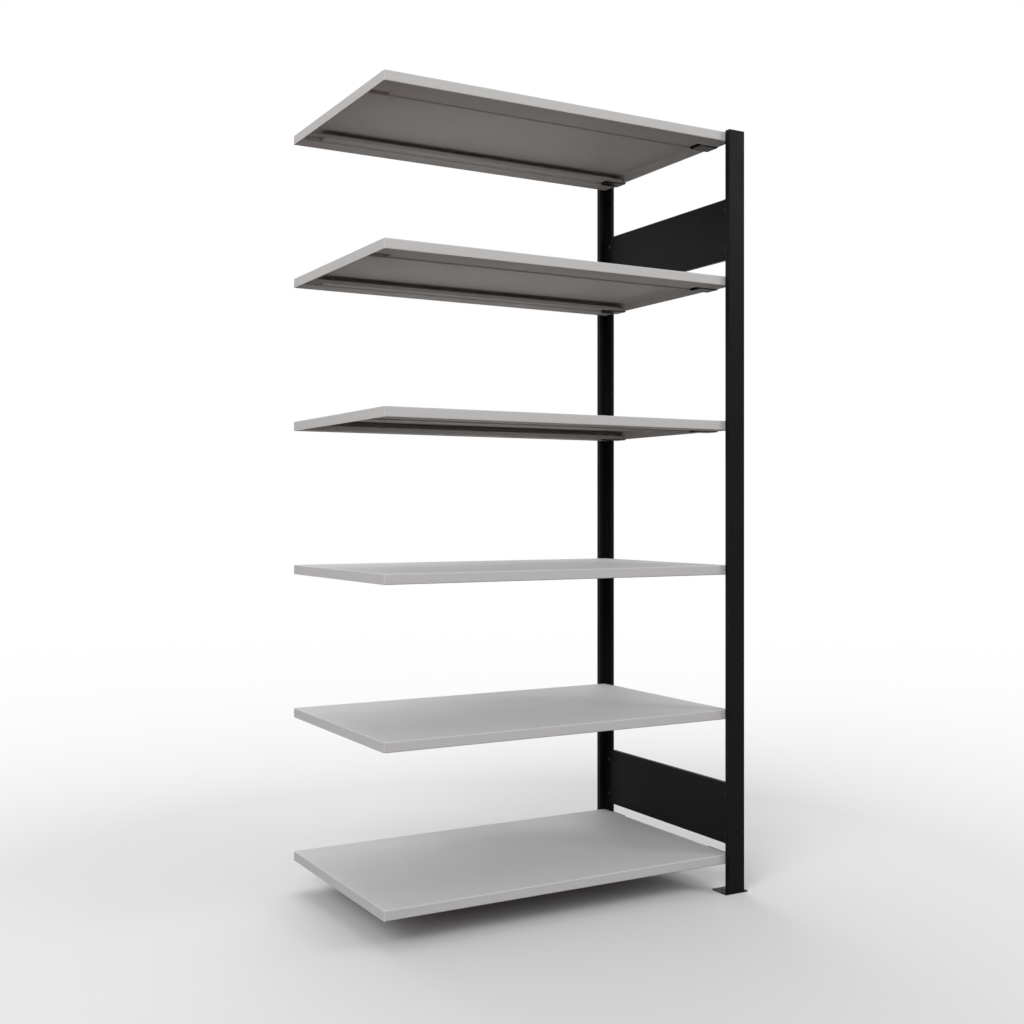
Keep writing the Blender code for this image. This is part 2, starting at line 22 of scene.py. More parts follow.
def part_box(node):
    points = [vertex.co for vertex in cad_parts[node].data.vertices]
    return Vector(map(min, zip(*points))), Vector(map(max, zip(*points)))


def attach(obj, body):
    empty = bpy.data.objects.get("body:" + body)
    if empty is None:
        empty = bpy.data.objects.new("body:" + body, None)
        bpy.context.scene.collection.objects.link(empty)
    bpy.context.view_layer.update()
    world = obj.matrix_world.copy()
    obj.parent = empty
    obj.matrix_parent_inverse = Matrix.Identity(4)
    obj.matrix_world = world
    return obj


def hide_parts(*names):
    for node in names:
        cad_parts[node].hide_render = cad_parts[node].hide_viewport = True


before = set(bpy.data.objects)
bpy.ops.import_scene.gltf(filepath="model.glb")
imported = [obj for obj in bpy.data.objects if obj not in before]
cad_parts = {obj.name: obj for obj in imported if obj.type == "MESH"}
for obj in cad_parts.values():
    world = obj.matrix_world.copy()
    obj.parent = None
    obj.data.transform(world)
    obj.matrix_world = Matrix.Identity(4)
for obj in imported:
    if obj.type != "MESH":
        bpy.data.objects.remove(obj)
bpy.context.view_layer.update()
LOG = logging.getLogger("shelving_bay")

Band = tuple[float, float]
Colour = tuple[float, float, float]
Flat = tuple[float, float]
Point = tuple[float, float, float]

SHELF_COUNT = 6
FRAME_BODY = "frame"
WEAR_NAME = "fold_wear"

# Facets of a bend, a round piece, a softened edge and a hexagon
FOLD_STEPS = 6
ROUND_STEPS = 32
SOFT_STEPS = 2
HEXAGON = 6

# Lengths that several pieces share
MERGE = 1e-6
SEAT_GAP = 0.0003
INSIDE_BEND = 0.001
RELIEF_MARGIN = 0.0004
BOLT_HOLE_RADIUS = 0.0033
WEAR_WIDTH = 0.0014

# Least angle, in radians, between the faces of a fold and of a hard, a softened and a worn edge
FOLD_ANGLE = 0.5
SHARP_ANGLE = math.radians(38)
SOFT_ANGLE = math.radians(50)
WEAR_ANGLE = math.radians(8)

# Shading
FLAT_WEIGHT = 100
UNIT: Band = (0.0, 1.0)
WHITE: Colour = (1.0, 1.0, 1.0)


class Slot(Enum):
    """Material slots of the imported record."""

    SHELF = "shelf_grey"
    FRAME = "frame_black"
    CAP = "cap_plastic"
    FASTENER = "fastener_zinc"


class Axis(Enum):
    """Axis of the part's frame, with its place in a vector."""

    X = 0
    Y = 1
    Z = 2


class Cut(Enum):
    """What a cutting tool does to a piece, with Blender's word for it."""

    REMOVE = "DIFFERENCE"
    KEEP = "INTERSECT"


class Side(Enum):
    """Long side of the bay, with its sign along Y."""

    FRONT = -1
    REAR = 1

    @property
    def word(self) -> str:
        """The side as it stands in piece names."""
        return self.name.lower()

    @property
    def turn(self) -> Matrix:
        """Half turn that brings a front piece to this side."""
        return Matrix.Rotation(math.pi if self is Side.REAR else 0.0, 4, "Z")


class Tier(Enum):
    """Height of a cross plate in the end frame."""

    LOWER = "lower"
    UPPER = "upper"


class Spot(Enum):
    """Height of a bolt in its cross plate."""

    LOW = "low"
    HIGH = "high"


# Sheet and solid modelling


def fold(bm: BMesh, edges: Iterable[BMEdge], step: Point) -> list[BMEdge]:
    """Extrude edges into a new panel.

    Args:
        bm: The sheet that is folded on.
        edges: Edges from which the panel starts.
        step: The panel's direction and width.

    Returns:
        The edges at the panel's far side.
    """
    made = bmesh.ops.extrude_edge_only(bm, edges=list(edges))["geom"]
    verts = {item for item in made if isinstance(item, BMVert)}
    bmesh.ops.translate(bm, verts=list(verts), vec=step)
    return [edge for edge in bm.edges if verts.issuperset(edge.verts)]


def chain(bm: BMesh, points: Sequence[Point]) -> list[BMEdge]:
    """Edges from point to point, from which a strip is folded.

    Args:
        bm: The sheet to start.
        points: Places along the chain.

    Returns:
        The edges in order.
    """
    verts = [bm.verts.new(point) for point in points]
    return [bm.edges.new(pair) for pair in zip(verts, verts[1:])]


def middle(edge: BMEdge) -> Vector:
    """Midpoint of an edge."""
    return (edge.verts[0].co + edge.verts[1].co) / 2


def cut_across(bm: BMesh, axis: Axis, *places: float) -> None:
    """Cut a sheet where it crosses planes that are square to an axis.

    Args:
        bm: The sheet.
        axis: The axis.
        places: Where along the axis the planes lie.
    """
    normal = Vector((0.0, 0.0, 0.0))
    normal[axis.value] = 1.0
    for place in places:
        bmesh.ops.bisect_plane(
            bm,
            geom=bm.verts[:] + bm.edges[:] + bm.faces[:],
            plane_co=normal * place,
            plane_no=normal,
            dist=MERGE,
        )


def round_edges(bm: BMesh, edges: Iterable[BMEdge], radius: float, steps: int) -> None:
    """Round edges.

    Args:
        bm: The sheet or solid.
        edges: The edges that are rounded.
        radius: Their radius.
        steps: Facets across each of them.
    """
    bmesh.ops.bevel(
        bm,
        geom=list(edges),
        offset=radius,
        segments=steps,
        profile=0.5,
        affect="EDGES",
        material=-1,
    )


def round_folds(bm: BMesh, radius: float) -> None:
    """Round every fold of a sheet.

    Args:
        bm: The sheet, given by its outer face.
        radius: Outer radius of the bends.
    """
    joined = [edge for edge in bm.edges if len(edge.link_faces) == 2]
    folds = [edge for edge in joined if edge.calc_face_angle() > FOLD_ANGLE]
    round_edges(bm, folds, radius, FOLD_STEPS)


def round_corners(bm: BMesh, verts: Iterable[BMVert], radius: float) -> None:
    """Round corners of a flat outline.

    Args:
        bm: The mesh that holds the outline.
        verts: Its corners.
        radius: Their radius.
    """
    bmesh.ops.bevel(
        bm,
        geom=list(verts),
        offset=radius,
        segments=FOLD_STEPS,
        profile=0.5,
        affect="VERTICES",
        material=-1,
    )


def face_outwards(bm: BMesh, outer: BMFace, outward: Point) -> None:
    """Make a sheet's normals agree.

    Args:
        bm: The sheet.
        outer: A face whose direction is known.
        outward: That direction.
    """
    bmesh.ops.recalc_face_normals(bm, faces=bm.faces[:])
    if outer.normal.dot(Vector(outward)) < 0:
        bmesh.ops.reverse_faces(bm, faces=bm.faces[:])


def flip_to_rear(bm: BMesh) -> BMesh:
    """Mirror a front piece to the rear.

    Args:
        bm: The front piece, which is changed.

    Returns:
        The same bmesh, with its faces pointing outwards.
    """
    bmesh.ops.scale(bm, verts=bm.verts[:], vec=(1.0, -1.0, 1.0))
    bmesh.ops.reverse_faces(bm, faces=bm.faces[:])
    return bm


def prism(
    outline: Sequence[Flat], bottom: float, top: float, radii: Sequence[float] = ()
) -> BMesh:
    """Upright solid on a flat outline.

    Args:
        outline: Corners of the outline.
        bottom: Height of the lower face.
        top: Height of the upper face.
        radii: Radius of each corner, where any is rounded.

    Returns:
        A closed bmesh.
    """
    bm = bmesh.new()
    corners = [bm.verts.new((x, y, bottom)) for x, y in outline]
    bm.faces.new(corners)
    for radius in sorted(set(radii) - {0.0}):
        round_corners(bm, [c for c, r in zip(corners, radii) if r == radius], radius)
    raised = bmesh.ops.extrude_face_region(bm, geom=bm.faces[:])["geom"]
    lifted = [item for item in raised if isinstance(item, BMVert)]
    bmesh.ops.translate(bm, verts=lifted, vec=(0.0, 0.0, top - bottom))
    bmesh.ops.recalc_face_normals(bm, faces=bm.faces[:])
    return bm


def turned(profile: Sequence[Flat], steps: int) -> BMesh:
    """Solid of revolution about Z.

    Args:
        profile: Radius and height of each point, from axis to axis.
        steps: Facets round the axis.

    Returns:
        A closed bmesh.
    """
    bm = bmesh.new()
    edges = chain(bm, [(radius, 0.0, height) for radius, height in profile])
    bmesh.ops.spin(
        bm,
        geom=bm.verts[:] + edges,
        cent=(0.0, 0.0, 0.0),
        axis=(0.0, 0.0, 1.0),
        angle=2 * math.pi,
        steps=steps,
        use_merge=True,
    )
    bmesh.ops.remove_doubles(bm, verts=bm.verts[:], dist=MERGE)
    bmesh.ops.recalc_face_normals(bm, faces=bm.faces[:])
    return bm


def add_rod(
    bm: BMesh, place: Matrix, radius: float, length: float, sides: int = ROUND_STEPS
) -> None:
    """Add a straight rod: a drill, a hexagon key or the blank of a nut.

    Args:
        bm: The mesh that gets it.
        place: Where its middle lies and how it is turned; it runs along its own Z.
        radius: To its corners.
        length: From end to end.
        sides: Facets round it.
    """
    bmesh.ops.create_cone(
        bm,
        cap_ends=True,
        segments=sides,
        radius1=radius,
        radius2=radius,
        depth=length,
        matrix=place,
    )


def add_bolt_hole(bm: BMesh, centre: Vector, length: float) -> None:
    """Add the drill for a bolt that runs along X to a cutting tool.

    Args:
        bm: The cutting tool.
        centre: The drill's middle.
        length: From end to end.
    """
    along_x = Matrix.Rotation(math.pi / 2, 4, "Y")
    add_rod(bm, Matrix.Translation(centre) @ along_x, BOLT_HOLE_RADIUS, length)


def bolt_centre(tier: Tier, side: Side, spot: Spot) -> Vector:
    """Middle of a bolt's CAD node."""
    low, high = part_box(f"{tier.value}_{side.word}_{spot.value}_bolt")
    return (low + high) / 2


def bench_object(bm: BMesh, name: str) -> Object:
    """Object for work in progress, which owns the bmesh's shape.

    Args:
        bm: The shape, which is freed.
        name: Name of the object and its mesh.

    Returns:
        The object, linked to the scene.
    """
    mesh = bpy.data.meshes.new(name)
    bm.to_mesh(mesh)
    bm.free()
    made = bpy.data.objects.new(name, mesh)
    bpy.context.scene.collection.objects.link(made)
    return made


def applied(work: Object) -> Mesh:
    """Mesh of an object with its modifiers applied.

    Args:
        work: The object, which is removed.

    Returns:
        The finished mesh.
    """
    evaluated = work.evaluated_get(bpy.context.evaluated_depsgraph_get())
    mesh = bpy.data.meshes.new_from_object(evaluated)
    bpy.data.objects.remove(work)
    return mesh


def mark_wear(bm: BMesh) -> None:
    """Mark the rounded folds and edges that hands rub, for the finishes to read.

    Args:
        bm: The finished shape.
    """
    layer = bm.verts.layers.float.new(WEAR_NAME)
    narrow = {
        face
        for face in bm.faces
        if face.calc_area() < WEAR_WIDTH * max(edge.calc_length() for edge in face.edges)
    }
    for edge in bm.edges:
        if len(edge.link_faces) == 2 and edge.calc_face_angle_signed() > WEAR_ANGLE:
            for vert in edge.verts:
                vert[layer] = float(narrow.issuperset(vert.link_faces))


def finished(
    bm: BMesh,
    name: str,
    sheet: float = 0.0,
    cuts: Sequence[tuple[Cut, BMesh]] = (),
    soften: float = 0.0,
    extras: Sequence[BMesh] = (),
) -> Mesh:
    """Take a shape to its finished mesh.

    Args:
        bm: The outer face of a sheet, or a closed solid.
        name: Name of the mesh.
        sheet: Thickness that a sheet gets inwards.
        cuts: What is cut, with the tools for it.
        soften: Width of the soft edge on sharp corners.
        extras: Closed shapes that are part of the piece and need no further work.

    Returns:
        The mesh, with flat panels that shade flat and folds that shade smooth.
    """
    work = bench_object(bm, name)
    if sheet:
        thicken = work.modifiers.new("sheet", "SOLIDIFY")
        thicken.thickness = sheet
        thicken.offset = -1.0
        thicken.use_even_offset = True
    tools = []
    for cut, shape in cuts:
        tool = bench_object(shape, "tool")
        boolean = work.modifiers.new("cut", "BOOLEAN")
        boolean.operation = cut.value
        boolean.solver = "EXACT"
        boolean.object = tool
        tools.append(tool)
    if soften:
        edges = work.modifiers.new("soft_edges", "BEVEL")
        edges.width = soften
        edges.segments = SOFT_STEPS
        edges.limit_method = "ANGLE"
        edges.angle_limit = SOFT_ANGLE
    shapes = [applied(work)] + [applied(bench_object(extra, "extra")) for extra in extras]
    for tool in tools:
        bpy.data.objects.remove(tool)
    whole = bmesh.new()
    for shape in shapes:
        whole.from_mesh(shape)
        bpy.data.meshes.remove(shape)
    mark_wear(whole)
    work = bench_object(whole, name)
    work.data.shade_smooth()
    work.data.set_sharp_from_angle(angle=SHARP_ANGLE)
    panels = work.modifiers.new("flat_panels", "WEIGHTED_NORMAL")
    panels.keep_sharp = True
    panels.weight = FLAT_WEIGHT
    mesh = applied(work)
    mesh.name = name
    return mesh


def dress(
    name: str,
    mesh: Mesh,
    place: Matrix,
    material: Material,
    body: str,
    node: str,
) -> None:
    """Put a finished piece in the place of its CAD node.

    Args:
        name: Name of the piece.
        mesh: Its shape, which is copied.
        place: Where the copy goes.
        material: Its finish.
        body: The CAD body that it moves with.
        node: The CAD node that it stands for.
    """
    own = mesh.copy()
    own.name = name
    own.transform(place)
    own.materials.clear()
    own.materials.append(material)
    piece = bpy.data.objects.new(name, own)
    bpy.context.scene.collection.objects.link(piece)
    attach(piece, body)
    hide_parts(node)
    LOG.info("%s: %d faces, rides on %s", name, len(own.polygons), body)


# Node trees and finishes


class NodeBench:
    """Adds nodes to one tree, row by row, and links them."""

    PER_ROW = 8
    COLUMN_STEP = 220.0
    ROW_STEP = -320.0

    def __init__(self, tree: NodeTree) -> None:
        """Start on a tree."""
        self.tree = tree
        self.count = 0

    def add(self, kind: str, sockets: dict | None = None, **settings: object) -> Node:
        """Add a node.

        Args:
            kind: Blender's name for the node type.
            sockets: Input sockets by name or index, each with a value or a socket to link from.
            settings: Properties of the node.

        Returns:
            The node.
        """
        node = self.tree.nodes.new(kind)
        row, column = divmod(self.count, self.PER_ROW)
        node.location = (self.COLUMN_STEP * column, self.ROW_STEP * row)
        self.count += 1
        for key, value in settings.items():
            setattr(node, key, value)
        for key, value in (sockets or {}).items():
            self.feed(node.inputs[key], value)
        return node

    def feed(self, target: NodeSocket, value: object) -> None:
        """Link a socket to an input, or set the input's value.

        Args:
            target: The input.
            value: The socket or the value.
        """
        if isinstance(value, NodeSocket):
            self.tree.links.new(value, target)
        else:
            target.default_value = value

    def effect(self, tree: NodeTree, where: NodeSocket, **values: object) -> dict[str, NodeSocket]:
        """Place a shared node group.

        Args:
            tree: The group.
            where: Coordinates at which it is read.
            values: Its other inputs.

        Returns:
            Its outputs by name.
        """
        sockets = {"Coordinates": where, **values}
        node = self.add("ShaderNodeGroup", sockets, node_tree=tree)
        return dict(node.outputs.items())

    def noise(self, where: NodeSocket, scale: object, detail: float) -> NodeSocket:
        """Noise value from 0 to 1.

        Args:
            where: Coordinates at which it is read.
            scale: Cells per metre.
            detail: Finer octaves.

        Returns:
            The value's socket.
        """
        sockets = {"Vector": where, "Scale": scale, "Detail": detail}
        return self.add("ShaderNodeTexNoise", sockets).outputs["Fac"]

    def math(self, operation: str, *values: object) -> NodeSocket:
        """Result of a Math node."""
        node = self.add("ShaderNodeMath", dict(enumerate(values)), operation=operation)
        return node.outputs["Value"]

    def product(self, first: object, *others: object) -> NodeSocket:
        """Product of several values.

        Args:
            first: One of them.
            others: The rest.

        Returns:
            The product's socket.
        """
        total = first
        for other in others:
            total = self.math("MULTIPLY", total, other)
        return total

    def ramp(
        self, value: object, band: Band, low: object = 0.0, high: object = 1.0
    ) -> NodeSocket:
        """Smooth step from one value to another.

        Args:
            value: What is mapped.
            band: Where the step starts and where it ends.
            low: Result before the band.
            high: Result after it.

        Returns:
            The result's socket.
        """
        names = ("Value", "From Min", "From Max", "To Min", "To Max")
        sockets = dict(zip(names, (value, *band, low, high)))
        node = self.add("ShaderNodeMapRange", sockets, interpolation_type="SMOOTHSTEP")
        return node.outputs["Result"]

    def mix(self, factor: object, first: object, second: object) -> NodeSocket:
        """Mix of two colours by a factor."""
        node = self.add("ShaderNodeMix", {0: factor, 6: first, 7: second}, data_type="RGBA")
        return node.outputs[2]

    def upward(self) -> NodeSocket:
        """Upward part of the surface's direction."""
        normal = self.add("ShaderNodeNewGeometry").outputs["Normal"]
        return self.add("ShaderNodeSeparateXYZ", {0: normal}).outputs["Z"]

    def bump(self, height: NodeSocket, relief: float) -> NodeSocket:
        """Surface direction that follows a height, of which 1 stands for the relief."""
        sockets = {"Strength": 1.0, "Distance": relief, "Height": height}
        return self.add("ShaderNodeBump", sockets).outputs["Normal"]


@dataclass
class SurfaceEffects:
    """Node groups that the finishes share, each built once. Scales are in cells per metre."""

    fine_pebble_ratio: float = 3.1
    fine_pebble_share: float = 0.35
    smudge_ratio: float = 3.7
    smudge_band: Band = (0.38, 0.66)
    dust_upward: Band = (0.75, 0.99)
    dust_cloud_scale: float = 9.0
    dust_cloud_band: Band = (0.3, 0.75)
    dust_cloud_least: float = 0.35
    dust_grain_scale: float = 900.0
    dust_grain_band: Band = (0.45, 0.7)
    dust_grain_least: float = 0.5
    wear_scale: float = 16.0
    wear_band: Band = (0.4, 0.65)
    wear_fade: Band = (0.35, 1.0)
    hair_scales: Point = (900.0, 9.0, 40.0)
    hair_band: Band = (0.62, 0.74)
    scuff_scale: float = 5.0
    scuff_band: Band = (0.42, 0.62)
    scuff_upward: Band = (0.9, 0.99)
    peel: NodeTree = field(init=False)
    drift: NodeTree = field(init=False)
    dust: NodeTree = field(init=False)
    wear: NodeTree = field(init=False)
    scuffs: NodeTree = field(init=False)

    def __post_init__(self) -> None:
        """Build the groups."""
        self.peel = self._orange_peel()
        self.drift = self._tone_drift()
        self.dust = self._settled_dust()
        self.wear = self._rubbed_folds()
        self.scuffs = self._sliding_scuffs()

    @staticmethod
    def _start(
        name: str, inputs: dict[str, str], outputs: dict[str, str]
    ) -> tuple[NodeBench, NodeSocket, dict[str, NodeSocket], dict[str, NodeSocket]]:
        """Start a group that is read at coordinates.

        Args:
            name: The group's name.
            inputs: Names of the other inputs, with their socket types.
            outputs: Names of the outputs, with their socket types.

        Returns:
            The bench, the coordinates, the other inputs by name and the outputs by name.
        """
        tree = bpy.data.node_groups.new(name, "ShaderNodeTree")
        sides = {"INPUT": {"Coordinates": "Vector", **inputs}, "OUTPUT": outputs}
        for side, sockets in sides.items():
            for key, kind in sockets.items():
                tree.interface.new_socket(name=key, in_out=side, socket_type=f"NodeSocket{kind}")
        bench = NodeBench(tree)
        given = bench.add("NodeGroupInput").outputs
        out = bench.add("NodeGroupOutput").inputs
        chosen = {key: given[key] for key in inputs}
        return bench, given["Coordinates"], chosen, {key: out[key] for key in outputs}

    def _orange_peel(self) -> NodeTree:
        """Pebbled skin of a baked powder coat, as a height.

        Returns:
            The group.
        """
        bench, where, given, out = self._start(
            "orange_peel", {"Pebble": "Float"}, {"Height": "Float"}
        )
        coarse_scale = bench.math("DIVIDE", 1.0, given["Pebble"])
        fine_scale = bench.math("MULTIPLY", coarse_scale, self.fine_pebble_ratio)
        coarse = bench.noise(where, coarse_scale, detail=1.0)
        fine = bench.noise(where, fine_scale, detail=1.0)
        height = bench.math("MULTIPLY_ADD", fine, self.fine_pebble_share, coarse)
        bench.feed(out["Height"], height)
        return bench.tree

    def _tone_drift(self) -> NodeTree:
        """Slow change of tone over a panel, and the smudges that change its gloss.

        Returns:
            The group.
        """
        bench, where, given, out = self._start(
            "tone_drift",
            {"Colour": "Color", "Patch": "Float", "Amount": "Float"},
            {"Colour": "Color", "Smudge": "Float"},
        )
        scale = bench.math("DIVIDE", 1.0, given["Patch"])
        slow = bench.noise(where, scale, detail=3.0)
        shift = bench.math("MULTIPLY", bench.math("SUBTRACT", slow, 0.5), given["Amount"])
        sockets = {0: given["Colour"], "Scale": bench.math("ADD", shift, 1.0)}
        scaled = bench.add("ShaderNodeVectorMath", sockets, operation="SCALE")
        bench.feed(out["Colour"], scaled.outputs["Vector"])
        smudge_scale = bench.math("MULTIPLY", scale, self.smudge_ratio)
        smudge = bench.noise(where, smudge_scale, detail=4.0)
        bench.feed(out["Smudge"], bench.ramp(smudge, self.smudge_band))
        return bench.tree

    def _settled_dust(self) -> NodeTree:
        """Thin dust on faces that look up.

        Returns:
            The group.
        """
        bench, where, given, out = self._start(
            "settled_dust", {"Amount": "Float"}, {"Mask": "Float"}
        )
        flat = bench.ramp(bench.upward(), self.dust_upward)
        clouds = bench.noise(where, self.dust_cloud_scale, detail=5.0)
        cloud = bench.ramp(clouds, self.dust_cloud_band, self.dust_cloud_least)
        grains = bench.noise(where, self.dust_grain_scale, detail=1.0)
        grain = bench.ramp(grains, self.dust_grain_band, self.dust_grain_least)
        bench.feed(out["Mask"], bench.product(flat, cloud, grain, given["Amount"]))
        return bench.tree

    def _rubbed_folds(self) -> NodeTree:
        """Folds and edges that hands have polished.

        Returns:
            The group.
        """
        bench, where, given, out = self._start(
            "rubbed_folds", {"Amount": "Float"}, {"Mask": "Float"}
        )
        marked = bench.add(
            "ShaderNodeAttribute", attribute_name=WEAR_NAME, attribute_type="GEOMETRY"
        ).outputs["Fac"]
        broad = bench.ramp(bench.noise(where, self.wear_scale, detail=4.0), self.wear_band)
        near = bench.ramp(marked, self.wear_fade)
        bench.feed(out["Mask"], bench.product(near, broad, given["Amount"]))
        return bench.tree

    def _sliding_scuffs(self) -> NodeTree:
        """Hairlines from what is pushed on and pulled off, on faces that look up.

        Returns:
            The group.
        """
        bench, where, given, out = self._start(
            "sliding_scuffs", {"Amount": "Float"}, {"Mask": "Float"}
        )
        stretched = bench.add(
            "ShaderNodeMapping", {"Vector": where, "Scale": self.hair_scales}
        ).outputs["Vector"]
        hair = bench.ramp(bench.noise(stretched, 1.0, detail=2.0), self.hair_band)
        patch = bench.ramp(bench.noise(where, self.scuff_scale, detail=2.0), self.scuff_band)
        flat = bench.ramp(bench.upward(), self.scuff_upward)
        bench.feed(out["Mask"], bench.product(hair, patch, flat, given["Amount"]))
        return bench.tree


def blank_material(name: str) -> tuple[Material, NodeBench, Node, NodeSocket]:
    """Start a material.

    Args:
        name: The material's name.

    Returns:
        The material, its bench, its Principled shader and the object coordinates.
    """
    material = bpy.data.materials.new(name)
    material.use_nodes = True
    bench = NodeBench(material.node_tree)
    shader = material.node_tree.nodes["Principled BSDF"]
    return material, bench, shader, bench.add("ShaderNodeTexCoord").outputs["Object"]


def opaque(colour: Colour) -> tuple[float, float, float, float]:
    """Colour with full alpha."""
    return (*colour, 1.0)


@dataclass(frozen=True)
class PowderCoat:
    """Baked powder paint: orange peel, drifting tone, thin dust and folds polished by hands."""

    name: str
    colour: Colour
    rubbed: Colour
    dust_colour: Colour
    roughness: float
    specular: float
    pebble: float
    relief: float
    drift: float
    dust: float
    wear: float
    scuff: float
    patch: float = 0.4
    smudge_dulling: float = 0.03
    dust_dulling: float = 0.5
    wear_dulling: float = -0.25
    scuff_height: float = -0.6

    def material(self, effects: SurfaceEffects) -> Material:
        """Build the finish.

        Args:
            effects: The shared node groups.

        Returns:
            The material.
        """
        material, bench, shader, where = blank_material(self.name)
        colour = opaque(self.colour)
        tone = bench.effect(
            effects.drift, where, Colour=colour, Patch=self.patch, Amount=self.drift
        )
        wear = bench.effect(effects.wear, where, Amount=self.wear)["Mask"]
        scuff = bench.effect(effects.scuffs, where, Amount=self.scuff)["Mask"]
        dust = bench.effect(effects.dust, where, Amount=self.dust)["Mask"]
        handled = bench.math("MAXIMUM", wear, scuff)
        painted = bench.mix(handled, tone["Colour"], opaque(self.rubbed))
        dusty = bench.mix(dust, painted, opaque(self.dust_colour))
        bench.feed(shader.inputs["Base Color"], dusty)
        least, most = self.roughness - self.smudge_dulling, self.roughness + self.smudge_dulling
        gloss = bench.ramp(tone["Smudge"], UNIT, least, most)
        dulled = bench.math("MULTIPLY_ADD", dust, self.dust_dulling, gloss)
        polished = bench.math("MULTIPLY_ADD", wear, self.wear_dulling, dulled)
        bench.feed(shader.inputs["Roughness"], polished)
        peel = bench.effect(effects.peel, where, Pebble=self.pebble)["Height"]
        height = bench.math("MULTIPLY_ADD", scuff, self.scuff_height, peel)
        bench.feed(shader.inputs["Normal"], bench.bump(height, self.relief))
        shader.inputs["Specular IOR Level"].default_value = self.specular
        return material


@dataclass(frozen=True)
class MouldedPlastic:
    """Plastic from a spark-eroded mould, with a fine even grain."""

    name: str
    colour: Colour
    dust_colour: Colour
    roughness: float
    specular: float
    grain: float
    relief: float
    drift: float = 0.2
    dust: float = 0.06
    patch: float = 0.05
    smudge_dulling: float = 0.06
    pit_height: float = 0.8

    def material(self, effects: SurfaceEffects) -> Material:
        """Build the finish.

        Args:
            effects: The shared node groups.

        Returns:
            The material.
        """
        material, bench, shader, where = blank_material(self.name)
        colour = opaque(self.colour)
        tone = bench.effect(
            effects.drift, where, Colour=colour, Patch=self.patch, Amount=self.drift
        )
        dust = bench.effect(effects.dust, where, Amount=self.dust)["Mask"]
        dusty = bench.mix(dust, tone["Colour"], opaque(self.dust_colour))
        bench.feed(shader.inputs["Base Color"], dusty)
        least, most = self.roughness - self.smudge_dulling, self.roughness + self.smudge_dulling
        bench.feed(shader.inputs["Roughness"], bench.ramp(tone["Smudge"], UNIT, least, most))
        sockets = {"Vector": where, "Scale": 1.0 / self.grain}
        pits = bench.add("ShaderNodeTexVoronoi", sockets, feature="SMOOTH_F1").outputs["Distance"]
        peel = bench.effect(effects.peel, where, Pebble=self.grain)["Height"]
        height = bench.math("MULTIPLY_ADD", pits, self.pit_height, peel)
        bench.feed(shader.inputs["Normal"], bench.bump(height, self.relief))
        shader.inputs["Specular IOR Level"].default_value = self.specular
        return material


@dataclass(frozen=True)
class ZincPlate:
    """Passivated zinc on steel, with a cool and a warm tint and tumbling marks."""

    name: str
    cool: Colour
    warm: Colour
    roughness: float
    drift: float = 0.16
    patch: float = 0.006
    warm_scale: float = 140.0
    warm_band: Band = (0.4, 0.7)
    warm_share: float = 0.7
    smudge_shine: float = 0.08
    smudge_dulling: float = 0.1
    pebble: float = 0.0006
    relief: float = 0.000012

    def material(self, effects: SurfaceEffects) -> Material:
        """Build the finish.

        Args:
            effects: The shared node groups.

        Returns:
            The material.
        """
        material, bench, shader, where = blank_material(self.name)
        colour = opaque(self.cool)
        tone = bench.effect(
            effects.drift, where, Colour=colour, Patch=self.patch, Amount=self.drift
        )
        warmth = bench.noise(where, self.warm_scale, detail=3.0)
        tint = bench.ramp(warmth, self.warm_band, high=self.warm_share)
        tinted = bench.mix(tint, tone["Colour"], opaque(self.warm))
        bench.feed(shader.inputs["Base Color"], tinted)
        least, most = self.roughness - self.smudge_shine, self.roughness + self.smudge_dulling
        bench.feed(shader.inputs["Roughness"], bench.ramp(tone["Smudge"], UNIT, least, most))
        marks = bench.effect(effects.peel, where, Pebble=self.pebble)["Height"]
        bench.feed(shader.inputs["Normal"], bench.bump(marks, self.relief))
        shader.inputs["Metallic"].default_value = 1.0
        return material


LIGHT_GREY = PowderCoat(
    name="light_grey_powder_coat",
    colour=(0.523, 0.524, 0.525),
    rubbed=(0.57, 0.57, 0.57),
    dust_colour=(0.50, 0.49, 0.47),
    roughness=0.62,
    specular=0.14,
    pebble=0.0022,
    relief=0.00003,
    drift=0.03,
    dust=0.05,
    wear=0.5,
    scuff=0.2,
)
BLACK_GREY = PowderCoat(
    name="black_grey_powder_coat",
    colour=(0.0066, 0.0072, 0.0073),
    rubbed=(0.020, 0.021, 0.021),
    dust_colour=(0.22, 0.215, 0.205),
    roughness=0.42,
    specular=0.055,
    pebble=0.0011,
    relief=0.00003,
    drift=0.05,
    dust=0.03,
    wear=0.15,
    scuff=0.1,
)
BLACK_PLASTIC = MouldedPlastic(
    name="black_moulded_plastic",
    colour=(0.0072, 0.0078, 0.0080),
    dust_colour=(0.22, 0.215, 0.205),
    roughness=0.48,
    specular=0.07,
    grain=0.0007,
    relief=0.00004,
)
BLACK_ZINC = ZincPlate(
    name="black_zinc_plate",
    cool=(0.040, 0.041, 0.043),
    warm=(0.052, 0.049, 0.045),
    roughness=0.40,
)


# Shelves


